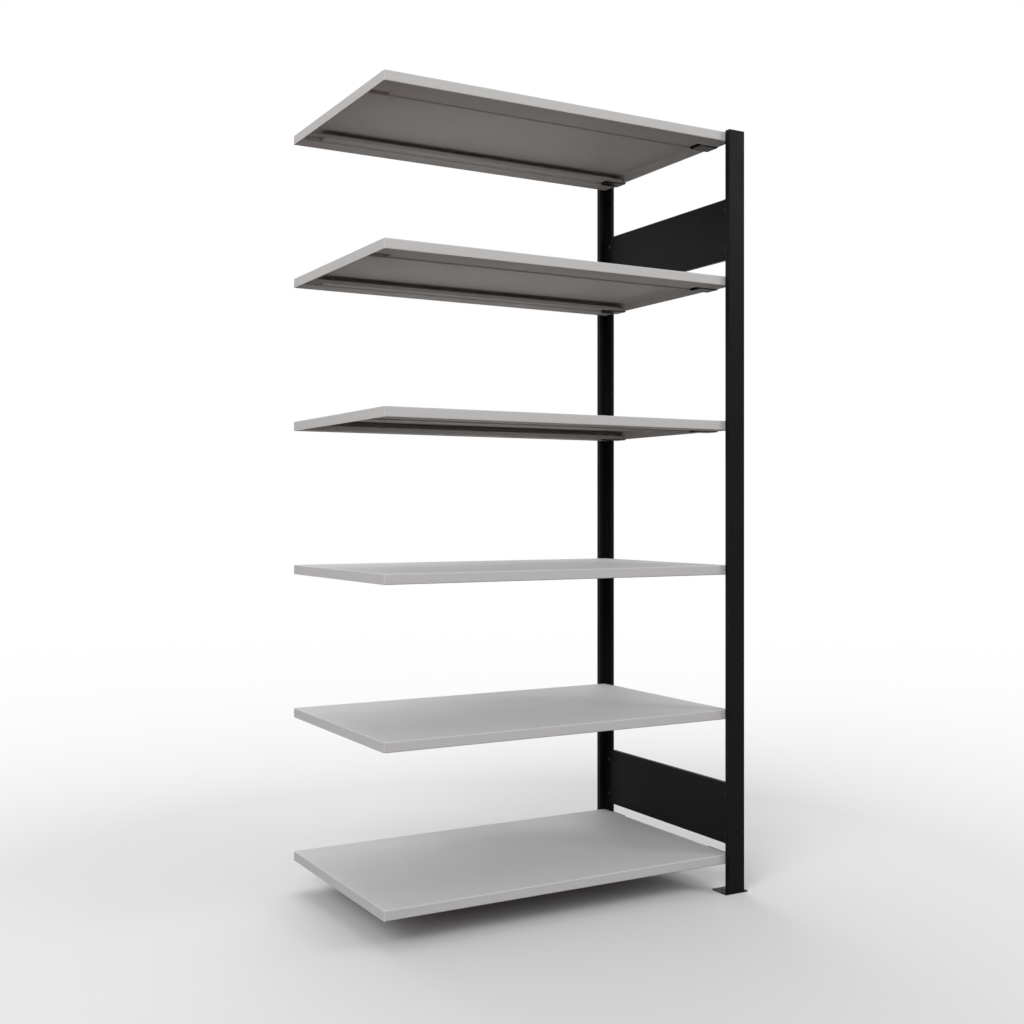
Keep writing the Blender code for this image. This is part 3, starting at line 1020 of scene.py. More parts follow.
@dataclass
class Shelves:
    """Six shelves of one pattern, each a folded sheet with two stiffening strips."""

    material: Material
    sheet: float = 0.0012
    box_edge_width: float = 0.057
    lip_width: float = 0.012
    strip_sheet: float = 0.0015
    strip_bend: float = 0.0016
    strip_hem: float = 0.010
    hem_end_gap: float = 0.004
    hem_relief: float = 0.001
    bead_width: float = 0.0036
    bead_height: float = 0.004
    raw_edge: float = 0.0002
    weld_radius: float = 0.003
    weld_rise: float = 0.00018
    weld_pitch: float = 0.0875
    weld_margin: float = 0.065
    weld_lip_share: float = 0.6
    weld_steps: int = 12
    weld_dish: tuple[Flat, ...] = ((0.0, -0.2), (0.55, -0.35), (0.8, -1.0), (1.0, 0.5))
    low: Vector = field(init=False)
    high: Vector = field(init=False)

    def __post_init__(self) -> None:
        """Take the outer sizes from the lowest shelf's CAD node."""
        self.low, self.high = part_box("shelf_1_pan")

    @property
    def length(self) -> float:
        """Length along X."""
        return self.high.x - self.low.x

    @property
    def depth(self) -> float:
        """Depth along Y."""
        return self.high.y - self.low.y

    @property
    def edge(self) -> float:
        """Height of the folded edge."""
        return self.high.z - self.low.z

    @property
    def top_middle(self) -> Vector:
        """Middle of the lowest shelf's top, which is the origin of the pattern."""
        low, high = self.low, self.high
        return Vector(((low.x + high.x) / 2, (low.y + high.y) / 2, high.z))

    def pan(self) -> Mesh:
        """Folded sheet with a box edge at the front and the rear.

        Returns:
            The mesh, with the middle of the top as its origin.
        """
        corner = self.sheet + INSIDE_BEND + RELIEF_MARGIN
        half_length, half_depth = self.length / 2, self.depth / 2
        bm = bmesh.new()
        size = Matrix.Diagonal((self.length, self.depth, 1.0, 1.0))
        bmesh.ops.create_grid(bm, x_segments=1, y_segments=1, size=0.5, matrix=size)
        cut_across(bm, Axis.X, corner - half_length, half_length - corner)
        cut_across(bm, Axis.Y, corner - half_depth, half_depth - corner)
        top = max(bm.faces, key=lambda face: face.calc_area())
        rim = fold(bm, [e for e in bm.edges if e.is_boundary], (0.0, 0.0, corner - self.edge))
        lower = fold(bm, [e for e in rim if e.calc_length() > 2 * corner], (0.0, 0.0, -corner))
        wall = self.edge - 2 * self.sheet - SEAT_GAP
        for side in Side:
            inward = -side.value
            edge = [e for e in lower if abs(middle(e).y - side.value * half_depth) < MERGE]
            edge = fold(bm, edge, (0.0, inward * self.box_edge_width, 0.0))
            edge = fold(bm, edge, (0.0, 0.0, wall))
            fold(bm, edge, (0.0, inward * self.lip_width, 0.0))
        face_outwards(bm, top, (0.0, 0.0, 1.0))
        round_folds(bm, self.sheet + INSIDE_BEND)
        cut_across(bm, Axis.Z, -corner)
        for side in Side:
            outer_y = side.value * (half_depth - corner)
            wall_y = side.value * (half_depth - self.box_edge_width)
            cut_across(bm, Axis.Y, outer_y, wall_y + side.value * corner)
        extras = [self.weld_marks(), *self.corner_tabs(corner)]
        return finished(bm, "shelf", self.sheet, soften=self.raw_edge, extras=extras)

    def corner_tabs(self, reach: float) -> list[BMesh]:
        """Tabs that close the corners below the bends, welded in and ground flush.

        Args:
            reach: Width and height of the notch that each tab fills.

        Returns:
            A closed shape for each corner.
        """
        x, y, sheet = self.length / 2, self.depth / 2, self.sheet
        corners = {
            (x - reach, y): 0.0,
            (x, y): sheet + INSIDE_BEND,
            (x, y - reach): 0.0,
            (x - sheet, y - reach): 0.0,
            (x - sheet, y - sheet): INSIDE_BEND,
            (x - reach, y - sheet): 0.0,
        }
        tabs = []
        for end in (-1, 1):
            for side in Side:
                outline = [(end * u, side.value * v) for u, v in corners]
                radii = list(corners.values())
                tabs.append(prism(outline, -self.edge, reach - self.edge, radii))
        return tabs

    def weld_marks(self) -> BMesh:
        """Spot welds along the lips that carry the top from below.

        Returns:
            Shallow rings on the lips' lower faces.
        """
        dish = [(u * self.weld_radius, v * self.weld_rise) for u, v in self.weld_dish]
        stamp = bench_object(turned(dish, self.weld_steps), "weld_mark")
        bm = bmesh.new()
        lip_y = self.depth / 2 - self.box_edge_width - self.weld_lip_share * self.lip_width
        lip_z = -(2 * self.sheet + SEAT_GAP)
        run = self.length - 2 * self.weld_margin
        count = round(run / self.weld_pitch)
        for side in Side:
            for step in range(count + 1):
                x = -self.length / 2 + self.weld_margin + step * run / count
                start = len(bm.verts)
                bm.from_mesh(stamp.data)
                bm.verts.ensure_lookup_table()
                place = (x, side.value * lip_y, lip_z)
                bmesh.ops.translate(bm, verts=bm.verts[start:], vec=place)
        bpy.data.objects.remove(stamp)
        return bm

    def strip(self, side: Side) -> Mesh:
        """Stiffening strip welded behind a box edge, with a bead and a long hem at its inner side.

        Args:
            side: The long side that it belongs to.

        Returns:
            The mesh, in the shelf's frame.
        """
        low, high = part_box("shelf_1_front_stiffener")
        low, high = low - self.top_middle, high - self.top_middle
        notch = self.strip_bend + RELIEF_MARGIN
        end = self.length / 2 - self.hem_end_gap
        stops = [-end, low.x - self.hem_relief, low.x, high.x, high.x + self.hem_relief, end]
        bm = bmesh.new()
        hem = chain(bm, [(x, high.y, low.z + notch) for x in stops])
        left, _, centre, _, right = hem
        fold(bm, hem, (0.0, 0.0, self.strip_hem - notch))
        outer = left.link_faces[0]
        for pocket_part in (left, right):
            fold(bm, [pocket_part], (0.0, 0.0, -notch))
        edge = fold(bm, [centre], (0.0, 0.0, -notch))
        edge = fold(bm, edge, (0.0, -self.bead_width, 0.0))
        edge = fold(bm, edge, (0.0, 0.0, self.bead_height))
        edge = fold(bm, edge, (0.0, low.y - high.y + self.bead_width, 0.0))
        fold(bm, edge, (0.0, 0.0, high.z - low.z - self.bead_height))
        face_outwards(bm, outer, (0.0, 1.0, 0.0))
        round_folds(bm, self.strip_bend)
        cut_across(bm, Axis.Y, low.y + notch, high.y - self.bead_width - notch)
        if side is Side.REAR:
            flip_to_rear(bm)
        return finished(bm, f"{side.word}_strip", self.strip_sheet, soften=self.raw_edge)

    def build(self) -> None:
        """Make all the shelves and put each in its place."""
        pan = self.pan()
        strips = {side: self.strip(side) for side in Side}
        for number in range(1, SHELF_COUNT + 1):
            body = f"shelf_{number}"
            node = f"{body}_pan"
            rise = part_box(node)[1].z - self.high.z
            place = Matrix.Translation(self.top_middle + Vector((0.0, 0.0, rise)))
            dress(f"{body}_folded_sheet", pan, place, self.material, body, node)
            for side, mesh in strips.items():
                name = f"{body}_{side.word}_strip"
                node = f"{body}_{side.word}_stiffener"
                dress(name, mesh, place, self.material, body, node)


# End frame


@dataclass(frozen=True)
class SlotRow:
    """Slots in the web of a post, into which the clips hook.

    The setback is taken from the flange to a slot's middle, the drop from a shelf's top to the
    middle of the first slot below it.
    """

    web: float = 0.004
    pitch: float = 0.035
    width: float = 0.003
    height: float = 0.016
    corner_radius: float = 0.0009
    corner_steps: int = 3
    setback: float = 0.0095
    drop: float = 0.0145


@dataclass
class Posts:
    """Two posts, each roll-formed from one strip: a hollow flange with a doubled web behind it."""

    material: Material
    cap_material: Material
    slots: SlotRow
    flange_depth: float = 0.018
    sheet: float = 0.0019
    corner_radius: float = 0.0025
    cap_edge: float = 0.001
    cap_steps: int = 4
    foot_corner: float = 0.001
    foot_edge: float = 0.0005
    foot_sheet: float = 0.003
    anchor_radius: float = 0.004
    anchor_spacing: float = 0.040
    anchor_from_rear: float = 0.0215
    spigot_height: float = 0.040
    spigot_corner: float = 0.0005
    low: Vector = field(init=False)
    high: Vector = field(init=False)

    def __post_init__(self) -> None:
        """Take the outer sizes from the front post's CAD node."""
        self.low, self.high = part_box("front_post")

    @property
    def origin(self) -> Vector:
        """Middle of the flange's rear face, at floor height."""
        return Vector(((self.low.x + self.high.x) / 2, self.low.y + self.flange_depth, 0.0))

    @property
    def half_flange(self) -> float:
        """Half the flange's width."""
        return (self.high.x - self.low.x) / 2

    @property
    def web_depth(self) -> float:
        """How far the web stands out behind the flange."""
        return self.high.y - self.low.y - self.flange_depth

    def section(self) -> list[Flat]:
        """Outline of the T-section.

        Returns:
            Its corners, from the web's left edge round to its right one.
        """
        flange, web, deep = self.half_flange, self.slots.web / 2, self.flange_depth
        half = [(-web, self.web_depth), (-web, 0.0), (-flange, 0.0), (-flange, -deep)]
        return half + [(-x, y) for x, y in reversed(half)]

    def profile(self) -> Mesh:
        """Roll-formed post with its slots and bolt holes.

        Returns:
            The mesh, with the post's origin as its own.
        """
        bm = bmesh.new()
        edges = chain(bm, [(x, y, self.low.z) for x, y in self.section()])
        fold(bm, edges, (0.0, 0.0, self.high.z - self.low.z))
        front = min(bm.faces, key=lambda face: face.calc_center_median().y)
        face_outwards(bm, front, (0.0, -1.0, 0.0))
        round_folds(bm, self.corner_radius)
        inset = self.half_flange - self.corner_radius - RELIEF_MARGIN
        cut_across(bm, Axis.X, -inset, inset)
        return finished(bm, "post", self.sheet, cuts=[(Cut.REMOVE, self.punch())])

    def punch(self) -> BMesh:
        """Punching tool for the web: a row of slots and the holes for the cross plates.

        Returns:
            The tool, in the post's frame.
        """
        slots = self.slots
        bm = bmesh.new()
        through = 2 * slots.web
        lowest, highest = (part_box(f"shelf_{number}_pan")[1].z for number in (1, SHELF_COUNT))
        size = Matrix.Diagonal((through, slots.width, slots.height, 1.0))
        # From the slot of the lowest clip's lower hook to that of the highest clip's upper one
        first = lowest - slots.drop - slots.pitch
        for step in range(round((highest - lowest) / slots.pitch) + 2):
            place = Matrix.Translation((0.0, slots.setback, first + step * slots.pitch))
            bmesh.ops.create_cube(bm, size=1.0, matrix=place @ size)
        across = [e for e in bm.edges if abs(e.verts[0].co.x - e.verts[1].co.x) > slots.web]
        round_edges(bm, across, slots.corner_radius, slots.corner_steps)
        for tier in Tier:
            for spot in Spot:
                centre = bolt_centre(tier, Side.FRONT, spot) - self.origin
                centre.x = 0.0
                add_bolt_hole(bm, centre, through)
        return bm

    def cap(self) -> Mesh:
        """Moulded cap that follows the section.

        Returns:
            The mesh, in the post's frame.
        """
        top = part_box("front_post_cap")[1].z
        corners = [0.0, 0.0] + [self.corner_radius] * 4 + [0.0, 0.0]
        bm = prism(self.section(), self.high.z + SEAT_GAP, top, corners)
        upper = max(bm.faces, key=lambda face: face.calc_center_median().z)
        round_edges(bm, upper.edges, self.cap_edge, self.cap_steps)
        return finished(bm, "cap")

    def foot(self) -> Mesh:
        """Foot plate with two anchor holes and the spigot that stands in the post.

        Returns:
            The mesh, in the post's frame.
        """
        low, high = (corner - self.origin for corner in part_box("front_foot_plate"))
        outline = [(low.x, low.y), (high.x, low.y), (high.x, high.y), (low.x, high.y)]
        bm = prism(outline, 0.0, self.foot_sheet, [self.foot_corner] * 4)
        drill = bmesh.new()
        for sign in (-1, 1):
            x, y = sign * self.anchor_spacing / 2, high.y - self.anchor_from_rear
            place = Matrix.Translation((x, y, 0.0))
            add_rod(drill, place, self.anchor_radius, 4 * self.foot_sheet)
        wall = self.sheet + SEAT_GAP
        x, near, far = self.half_flange - wall, -self.flange_depth + wall, -wall
        tongue = [(-x, near), (x, near), (x, far), (-x, far)]
        top = self.foot_sheet + self.spigot_height
        spigot = prism(tongue, self.foot_sheet, top, [self.spigot_corner] * 4)
        cuts = [(Cut.REMOVE, drill)]
        return finished(bm, "foot", cuts=cuts, soften=self.foot_edge, extras=[spigot])

    def build(self) -> None:
        """Make both posts with their caps and feet."""
        pieces = (
            ("post_profile", self.profile(), self.material, Slot.FRAME, "post"),
            ("cap", self.cap(), self.cap_material, Slot.CAP, "post_cap"),
            ("foot", self.foot(), self.material, Slot.FRAME, "foot_plate"),
        )
        for side in Side:
            origin = Vector((self.origin.x, -side.value * self.origin.y, 0.0))
            place = Matrix.Translation(origin) @ side.turn
            for kind, mesh, material, slot, cad_kind in pieces:
                name, node = f"{side.word}_{kind}", f"{side.word}_{cad_kind}"
                dress(name, mesh, place, material, FRAME_BODY, node)


@dataclass
class CrossPlates:
    """Two folded plates that are bolted to both webs."""

    material: Material
    sheet: float = 0.0015
    corner_radius: float = 0.006
    web_edge_gap: float = 0.004
    tab_slit: float = 0.001
    raw_edge: float = 0.00025

    def sheet_metal(self, tier: Tier) -> Mesh:
        """Plate with a flange along its lower and upper edge.

        Args:
            tier: Which of the two plates.

        Returns:
            The mesh, in its place.
        """
        low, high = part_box(f"{tier.value}_cross_plate")
        flange_end = -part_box("front_post")[1].y - self.web_edge_gap
        bend = self.sheet + INSIDE_BEND
        notch = bend + RELIEF_MARGIN
        bm = bmesh.new()
        edge = chain(bm, [(low.x, low.y, low.z), (low.x, high.y, low.z)])
        fold(bm, edge, (0.0, 0.0, high.z - low.z))
        round_corners(bm, bm.verts[:], self.corner_radius)
        tab = flange_end + self.tab_slit
        cut_across(bm, Axis.Y, -tab, -flange_end, flange_end, tab)
        cut_across(bm, Axis.Z, low.z + notch, high.z - notch)
        panel = max(bm.faces, key=lambda face: face.calc_area())
        centre_z = panel.calc_center_median().z
        panel_half = centre_z - low.z - notch
        blank = [(face, face.calc_center_median()) for face in bm.faces]
        waste = [f for f, c in blank if abs(c.y) < tab and abs(c.z - centre_z) > panel_half]
        bmesh.ops.delete(bm, geom=waste, context="FACES")
        level = [e for e in panel.edges if abs(e.verts[0].co.z - e.verts[1].co.z) < MERGE]
        for edge in level:
            sign = 1.0 if middle(edge).z > centre_z else -1.0
            outer = fold(bm, [edge], (0.0, 0.0, sign * notch))
            fold(bm, outer, (high.x - low.x, 0.0, 0.0))
        face_outwards(bm, panel, (-1.0, 0.0, 0.0))
        round_folds(bm, bend)
        cut_across(bm, Axis.X, low.x + notch)
        drill = bmesh.new()
        for side in Side:
            for spot in Spot:
                centre = bolt_centre(tier, side, spot)
                centre.x = low.x
                add_bolt_hole(drill, centre, 4 * self.sheet)
        cuts = [(Cut.REMOVE, drill)]
        return finished(bm, "cross_plate", self.sheet, cuts=cuts, soften=self.raw_edge)

    def build(self) -> None:
        """Make both plates."""
        for tier in Tier:
            mesh = self.sheet_metal(tier)
            name, node = f"{tier.value}_cross_sheet", f"{tier.value}_cross_plate"
            dress(name, mesh, Matrix.Identity(4), self.material, FRAME_BODY, node)


# Clips and fasteners


@dataclass
class Clips:
    """Hook-in clips under the right end of each shelf, one at the front and one at the rear."""

    material: Material
    slots: SlotRow
    sheet: float = 0.002
    web_to_shelf: float = 0.008
    flange_to_shelf: float = 0.001
    inset: float = 0.0025
    top_drop: float = 0.002
    foot: float = 0.005
    ledge_gap: float = 0.002
    ledge_end_gap: float = 0.003
    ledge_lip: float = 0.014
    pocket: float = 0.055
    hooks: int = 2
    hook_drop: float = 0.005
    hook_play: float = 0.001
    hook_nose: float = 0.0025
    hook_radius: float = 0.0008
    raw_edge: float = 0.0003
    corner_radius: float = 0.003

    def bent_sheet(self) -> BMesh:
        """Outer face of a front clip; the origin is the shelf's front right corner at the top.

        Returns:
            The sheet, without its thickness.
        """
        slots = self.slots
        pan_low, pan_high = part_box("shelf_1_pan")
        strip_low, strip_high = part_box("shelf_1_front_stiffener")
        edge_height = pan_high.z - pan_low.z
        web_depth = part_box("front_post")[1].y - pan_low.y + self.flange_to_shelf
        leg_x = self.web_to_shelf - SEAT_GAP
        front = self.inset - self.flange_to_shelf
        rear = web_depth - self.inset - self.flange_to_shelf
        ledge_front = strip_low.y - pan_low.y - SEAT_GAP + self.ledge_gap
        ledge_rear = strip_high.y - pan_low.y - SEAT_GAP - self.ledge_gap
        ledge_z = -(edge_height + SEAT_GAP + self.sheet)
        bend = self.sheet + INSIDE_BEND
        arm_z = ledge_z + bend + RELIEF_MARGIN
        lowest_slot = slots.drop + (self.hooks - 1) * slots.pitch
        foot_z = -(lowest_slot + slots.height / 2 + self.foot)
        reach = leg_x + self.pocket - self.ledge_end_gap
        bm = bmesh.new()
        edge = chain(bm, [(leg_x, front, -self.top_drop), (leg_x, front, arm_z)])
        panels = []
        for far, near in ((rear, front), (ledge_front, rear), (ledge_rear, ledge_front)):
            edge = fold(bm, edge, (0.0, far - near, 0.0))
            panels.append(edge[0].link_faces[0])
        leg, _, shoulder = (min(panel.edges, key=lambda e: middle(e).z) for panel in panels)
        fold(bm, [leg], (0.0, 0.0, foot_z - arm_z))
        corner = fold(bm, [shoulder], (0.0, 0.0, ledge_z - arm_z))
        ledge = fold(bm, corner, (-reach, 0.0, 0.0))
        fold(bm, ledge, (0.0, 0.0, self.ledge_lip))
        round_corners(bm, [v for v in bm.verts if len(v.link_faces) == 1], self.corner_radius)
        upright = max(bm.faces, key=lambda face: face.calc_center_median().x)
        face_outwards(bm, upright, (1.0, 0.0, 0.0))
        round_folds(bm, bend)
        return bm

    def hook(self, number: int) -> BMesh:
        """Hook that passes through a slot and hangs down behind the web.

        Args:
            number: 0 for the upper slot, 1 for the one below it.

        Returns:
            A closed shape in the clip's frame.
        """
        slots = self.slots
        near = self.web_to_shelf - SEAT_GAP - self.sheet / 2
        behind = self.web_to_shelf + slots.web + SEAT_GAP
        far = behind + self.hook_nose
        seat = -slots.drop - number * slots.pitch - slots.height / 2 + SEAT_GAP
        top = seat + slots.height - self.hook_drop - self.hook_play
        tip = seat - self.hook_drop
        outline = [(near, seat), (behind, seat), (behind, tip), (far, tip), (far, top), (near, top)]
        soft = self.hook_radius
        bm = prism(outline, -self.sheet / 2, self.sheet / 2, [0.0, 0.0, soft, soft, soft, 0.0])
        place = Matrix.Translation((0.0, slots.setback - self.flange_to_shelf, 0.0))
        upright = Matrix.Rotation(math.pi / 2, 4, "X")
        bmesh.ops.transform(bm, matrix=place @ upright, verts=bm.verts[:])
        return bm

    def mesh(self, side: Side) -> Mesh:
        """Whole clip.

        Args:
            side: The long side that it hangs at.

        Returns:
            The mesh, with the shelf's corner at the top as its origin.
        """
        parts = [self.bent_sheet()] + [self.hook(number) for number in range(self.hooks)]
        if side is Side.REAR:
            parts = [flip_to_rear(part) for part in parts]
        name = f"{side.word}_clip"
        return finished(parts[0], name, self.sheet, soften=self.raw_edge, extras=parts[1:])

    def build(self) -> None:
        """Make all the clips."""
        for side in Side:
            mesh = self.mesh(side)
            for number in range(1, SHELF_COUNT + 1):
                low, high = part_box(f"shelf_{number}_pan")
                y = low.y if side is Side.FRONT else high.y
                place = Matrix.Translation((high.x, y, high.z))
                stem = f"shelf_{number}_{side.word}"
                name, node = f"{stem}_hook_clip", f"{stem}_clip"
                dress(name, mesh, place, self.material, FRAME_BODY, node)


@dataclass
class Fasteners:
    """Socket-head bolts and hexagon nuts that hold the cross plates."""

    material: Material
    head_height: float = 0.003
    head_rim: float = 0.001
    head_edge: float = 0.0002
    dome_steps: int = 8
    thread_radius: float = 0.003
    thread_depth: float = 0.00035
    thread_pitch: float = 0.001
    thread_start: float = 0.006
    socket: float = 0.004
    socket_depth: float = 0.0017
    socket_rim_share: float = 0.62
    bore_radius: float = 0.00305
    round_steps: int = 24
    nut_face_share: float = 0.47
    chamfer_angle: float = math.radians(30)
    chamfer_steps: int = 48

    def bolt(self) -> Mesh:
        """Bolt along X with its domed head towards -X.

        Returns:
            The mesh, with the middle of the head's seat as its origin.
        """
        low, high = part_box("lower_front_low_bolt")
        head = (high.y - low.y) / 2
        length = high.x - low.x - self.head_height
        flat = self.socket_rim_share * self.socket
        profile = [(0.0, self.head_height), (flat, self.head_height)]
        for step in range(1, self.dome_steps + 1):
            angle = math.pi / 2 * step / self.dome_steps
            rise = self.head_rim + (self.head_height - self.head_rim) * math.cos(angle)
            profile.append((flat + (head - flat) * math.sin(angle), rise))
        profile += [(head, self.head_edge), (head - self.head_edge, 0.0)]
        profile.append((self.thread_radius, 0.0))
        root = self.thread_radius - self.thread_depth
        height = -self.thread_start
        while height > self.thread_pitch - length:
            profile.append((self.thread_radius, height))
            profile.append((root, height - self.thread_pitch / 2))
            height -= self.thread_pitch
        profile += [(self.thread_radius, height), (root, -length), (0.0, -length)]
        bm = turned(profile, self.round_steps)
        key = bmesh.new()
        place = Matrix.Translation((0.0, 0.0, self.head_height))
        key_radius = self.socket / 2 / math.cos(math.pi / HEXAGON)
        add_rod(key, place, key_radius, 2 * self.socket_depth, HEXAGON)
        mesh = finished(bm, "bolt", cuts=[(Cut.REMOVE, key)])
        mesh.transform(Matrix.Rotation(-math.pi / 2, 4, "Y"))
        return mesh

    def nut(self) -> Mesh:
        """Hexagon nut along X, chamfered on both faces.

        Returns:
            The mesh, with the middle of its seat as its origin.
        """
        low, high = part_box("lower_front_low_nut")
        height = high.x - low.x
        corner = (high.z - low.z) / 2
        face = self.nut_face_share * (high.y - low.y)
        slope = (corner - face) * math.tan(self.chamfer_angle)
        centre = Matrix.Translation((0.0, 0.0, height / 2))
        blank = bmesh.new()
        add_rod(blank, centre, corner, height, HEXAGON)
        turn = Matrix.Rotation(math.pi / 2, 3, "Z")
        bmesh.ops.rotate(blank, verts=blank.verts[:], cent=(0.0, 0.0, 0.0), matrix=turn)
        lower = [(0.0, 0.0), (face, 0.0), (corner, slope)]
        upper = [(corner, height - slope), (face, height), (0.0, height)]
        chamfer = turned(lower + upper, self.chamfer_steps)
        drill = bmesh.new()
        add_rod(drill, centre, self.bore_radius, 2 * height, self.round_steps)
        mesh = finished(blank, "nut", cuts=[(Cut.KEEP, chamfer), (Cut.REMOVE, drill)])
        mesh.transform(Matrix.Rotation(math.pi / 2, 4, "Y"))
        return mesh

    def dress_pair(self, tier: Tier, side: Side, spot: Spot, bolt: Mesh, nut: Mesh) -> None:
        """Put a bolt and its nut in their places.

        Args:
            tier: The cross plate that they hold.
            side: The post that they hold it to.
            spot: Their height in the plate.
            bolt: The bolt's shape.
            nut: The nut's shape.
        """
        stem = f"{tier.value}_{side.word}_{spot.value}"
        centre = bolt_centre(tier, side, spot)
        head_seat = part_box(f"{stem}_bolt")[0].x + self.head_height
        nut_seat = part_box(f"{stem}_nut")[0].x
        pair = (("dome_bolt", bolt, head_seat, "bolt"), ("hex_nut", nut, nut_seat, "nut"))
        for kind, mesh, x, cad_kind in pair:
            name, node = f"{stem}_{kind}", f"{stem}_{cad_kind}"
            place = Matrix.Translation((x, centre.y, centre.z))
            dress(name, mesh, place, self.material, FRAME_BODY, node)

    def build(self) -> None:
        """Make all the bolts and nuts."""
        bolt, nut = self.bolt(), self.nut()
        for tier in Tier:
            for side in Side:
                for spot in Spot:
                    self.dress_pair(tier, side, spot, bolt, nut)


# Studio


@dataclass(frozen=True)
class Lamp:
    """Large soft lamp with a square face, aimed at a point; its power is in watts."""

    name: str
    place: Point
    aim: Point
    size: float
    power: float

    def hang(self) -> None:
        """Put the lamp in the scene."""
        light = bpy.data.lights.new(self.name, "AREA")
        light.shape = "SQUARE"
        light.size = self.size
        light.energy = self.power
        lamp = bpy.data.objects.new(self.name, light)
        lamp.location = self.place
        direction = Vector(self.aim) - Vector(self.place)
        lamp.rotation_euler = direction.to_track_quat("-Z", "Y").to_euler()
        bpy.context.scene.collection.objects.link(lamp)


LAMPS = (
    Lamp("key", place=(-8.0, -6.9, 5.6), aim=(0.0, 0.0, 1.4), size=6.5, power=915.0),
    Lamp("fill", place=(3.5, -4.0, 3.6), aim=(0.4, -0.3, 1.6), size=1.5, power=60.0),
    Lamp("back", place=(0.6, 3.0, 5.0), aim=(0.0, 0.0, 0.6), size=3.5, power=105.0),
)


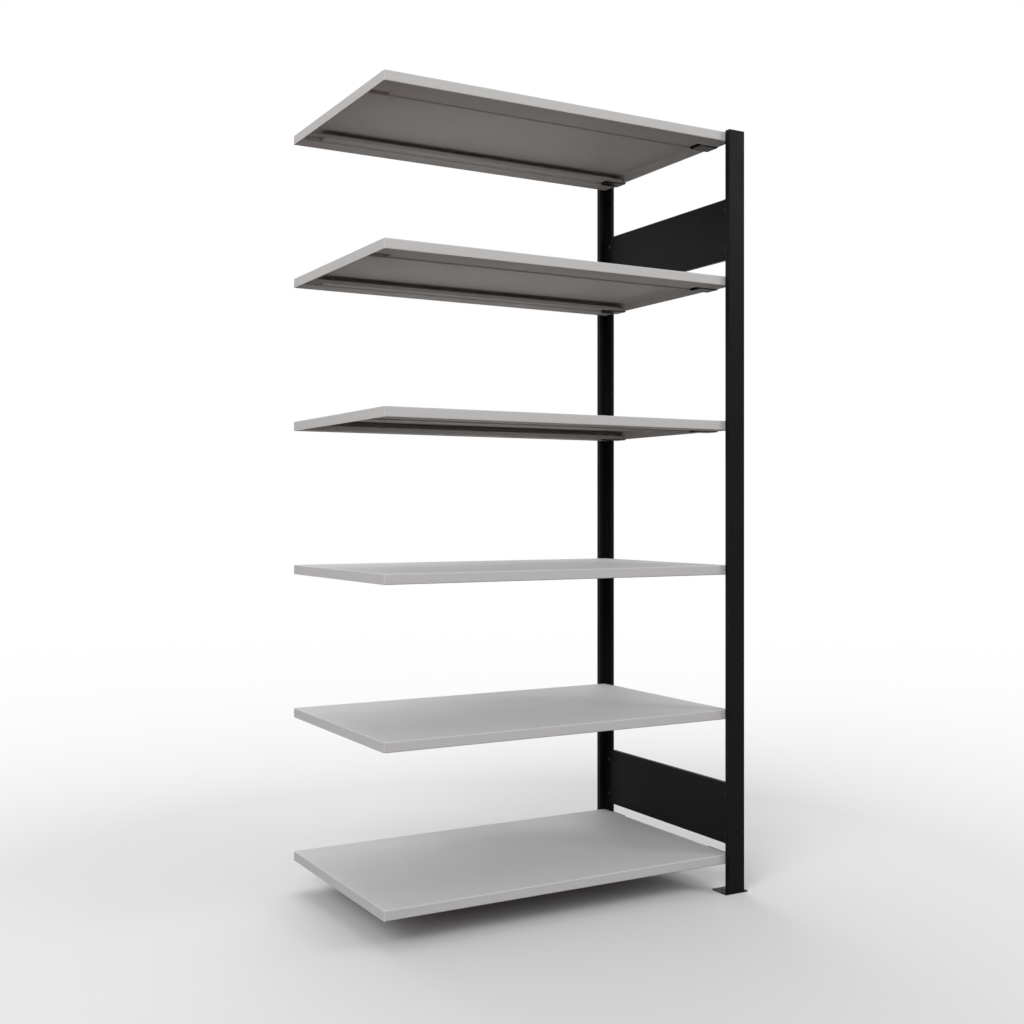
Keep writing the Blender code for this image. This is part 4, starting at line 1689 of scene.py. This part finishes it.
@dataclass
class Studio:
    """Pale floor, white surroundings, soft light and the camera at the photograph's place."""

    floor_paint: Colour = (0.715, 0.715, 0.715)
    floor_roughness: float = 0.9
    floor_size: float = 60.0
    floor_cells: int = 8
    # Colours that the floor gives to bounced light only: painted shade near the bay, dark and warm,
    # which darkens the shelves' undersides as though things stood in the bay, and a lighter painted
    # bounce far from it
    near_bounce: Colour = (0.045, 0.014, 0.0)
    far_bounce: Colour = (0.5, 0.44, 0.37)
    bounce_band: Band = (4.5, 8.5)
    fade_start: float = 1.4
    fade_length: float = 1.1
    zenith_level: float = 0.62
    horizon_level: float = 0.52
    camera_place: Point = (-1.7138, -3.0001, 1.0146)
    camera_yaw: float = -29.46
    lens: float = 45.17
    sensor_width: float = 36.0

    @staticmethod
    def seen_directly(bench: NodeBench) -> NodeSocket:
        """Mask of the rays that show the white surroundings as they are: camera, gloss and glass.

        Args:
            bench: The bench of the material or world.

        Returns:
            The mask's socket.
        """
        path = bench.add("ShaderNodeLightPath").outputs
        shine = bench.math("MAXIMUM", path["Is Glossy Ray"], path["Is Transmission Ray"])
        return bench.math("MAXIMUM", path["Is Camera Ray"], shine)

    def floor(self) -> None:
        """Floor that keeps the shadow near the bay and goes over to white far from it; to bounced
        light it gives back painted shade near the bay, which darkens the shelves' undersides, and a
        lighter painted bounce far out.
        """
        bm = bmesh.new()
        cells = self.floor_cells
        bmesh.ops.create_grid(bm, x_segments=cells, y_segments=cells, size=self.floor_size / 2)
        floor = bench_object(bm, "studio_floor")
        material, bench, shader, where = blank_material("studio_floor_paint")
        length = bench.add("ShaderNodeVectorMath", {0: where}, operation="LENGTH")
        distance = length.outputs["Value"]
        # Bounced light sees painted shade near the bay and a lighter painted bounce far out, not
        # the pale paint that the camera sees
        bounced = bench.add("ShaderNodeLightPath").outputs["Is Diffuse Ray"]
        outer = bench.ramp(distance, self.bounce_band)
        painted_bounce = bench.mix(outer, opaque(self.near_bounce), opaque(self.far_bounce))
        paint = bench.mix(bounced, opaque(self.floor_paint), painted_bounce)
        bench.feed(shader.inputs["Base Color"], paint)
        shader.inputs["Roughness"].default_value = self.floor_roughness
        shader.inputs["Specular IOR Level"].default_value = 0.0
        beyond = bench.math("MAXIMUM", bench.math("SUBTRACT", distance, self.fade_start), 0.0)
        left = bench.math("EXPONENT", bench.math("DIVIDE", beyond, -self.fade_length))
        far = bench.math("SUBTRACT", 1.0, left)
        white = bench.add("ShaderNodeEmission", {"Color": opaque(WHITE), "Strength": 1.0})
        factor = bench.math("MULTIPLY", far, self.seen_directly(bench))
        sockets = {0: factor, 1: shader.outputs[0], 2: white.outputs[0]}
        both = bench.add("ShaderNodeMixShader", sockets)
        output = material.node_tree.nodes["Material Output"]
        bench.feed(output.inputs["Surface"], both.outputs[0])
        floor.data.materials.append(material)

    def surroundings(self) -> None:
        """White world, brighter overhead than at the horizon."""
        world = bpy.data.worlds.new("white_studio")
        world.use_nodes = True
        bench = NodeBench(world.node_tree)
        direction = bench.add("ShaderNodeTexCoord").outputs["Generated"]
        rise = bench.add("ShaderNodeSeparateXYZ", {0: direction}).outputs["Z"]
        sockets = {"Value": rise, "To Min": self.horizon_level, "To Max": self.zenith_level}
        light = bench.add("ShaderNodeMapRange", sockets).outputs["Result"]
        sockets = {"Value": self.seen_directly(bench), "To Min": light, "To Max": 1.0}
        level = bench.add("ShaderNodeMapRange", sockets).outputs["Result"]
        background = world.node_tree.nodes["Background"]
        background.inputs["Color"].default_value = opaque(WHITE)
        bench.feed(background.inputs["Strength"], level)
        bpy.context.scene.world = world

    def camera(self) -> None:
        """Level camera, turned towards the bay from its front left."""
        data = bpy.data.cameras.new("photo_view")
        data.lens = self.lens
        data.sensor_width = self.sensor_width
        camera = bpy.data.objects.new("photo_view", data)
        camera.location = self.camera_place
        camera.rotation_euler = (math.pi / 2, 0.0, math.radians(self.camera_yaw))
        bpy.context.scene.collection.objects.link(camera)
        bpy.context.scene.camera = camera

    def build(self) -> None:
        """Set up the studio."""
        bpy.context.scene.view_settings.view_transform = "Standard"
        self.floor()
        self.surroundings()
        for lamp in LAMPS:
            lamp.hang()
        self.camera()
        LOG.info("studio: floor, white surroundings, lamps and camera")


def main() -> None:
    """Build and dress every piece, then the studio."""
    logging.basicConfig(level=logging.INFO, format="%(name)s: %(message)s")
    effects = SurfaceEffects()
    slots = SlotRow()
    grey = LIGHT_GREY.material(effects)
    black = BLACK_GREY.material(effects)
    Shelves(grey).build()
    Posts(black, BLACK_PLASTIC.material(effects), slots).build()
    CrossPlates(black).build()
    Clips(black, slots).build()
    Fasteners(BLACK_ZINC.material(effects)).build()
    Studio().build()


if __name__ == "__main__":
    main()
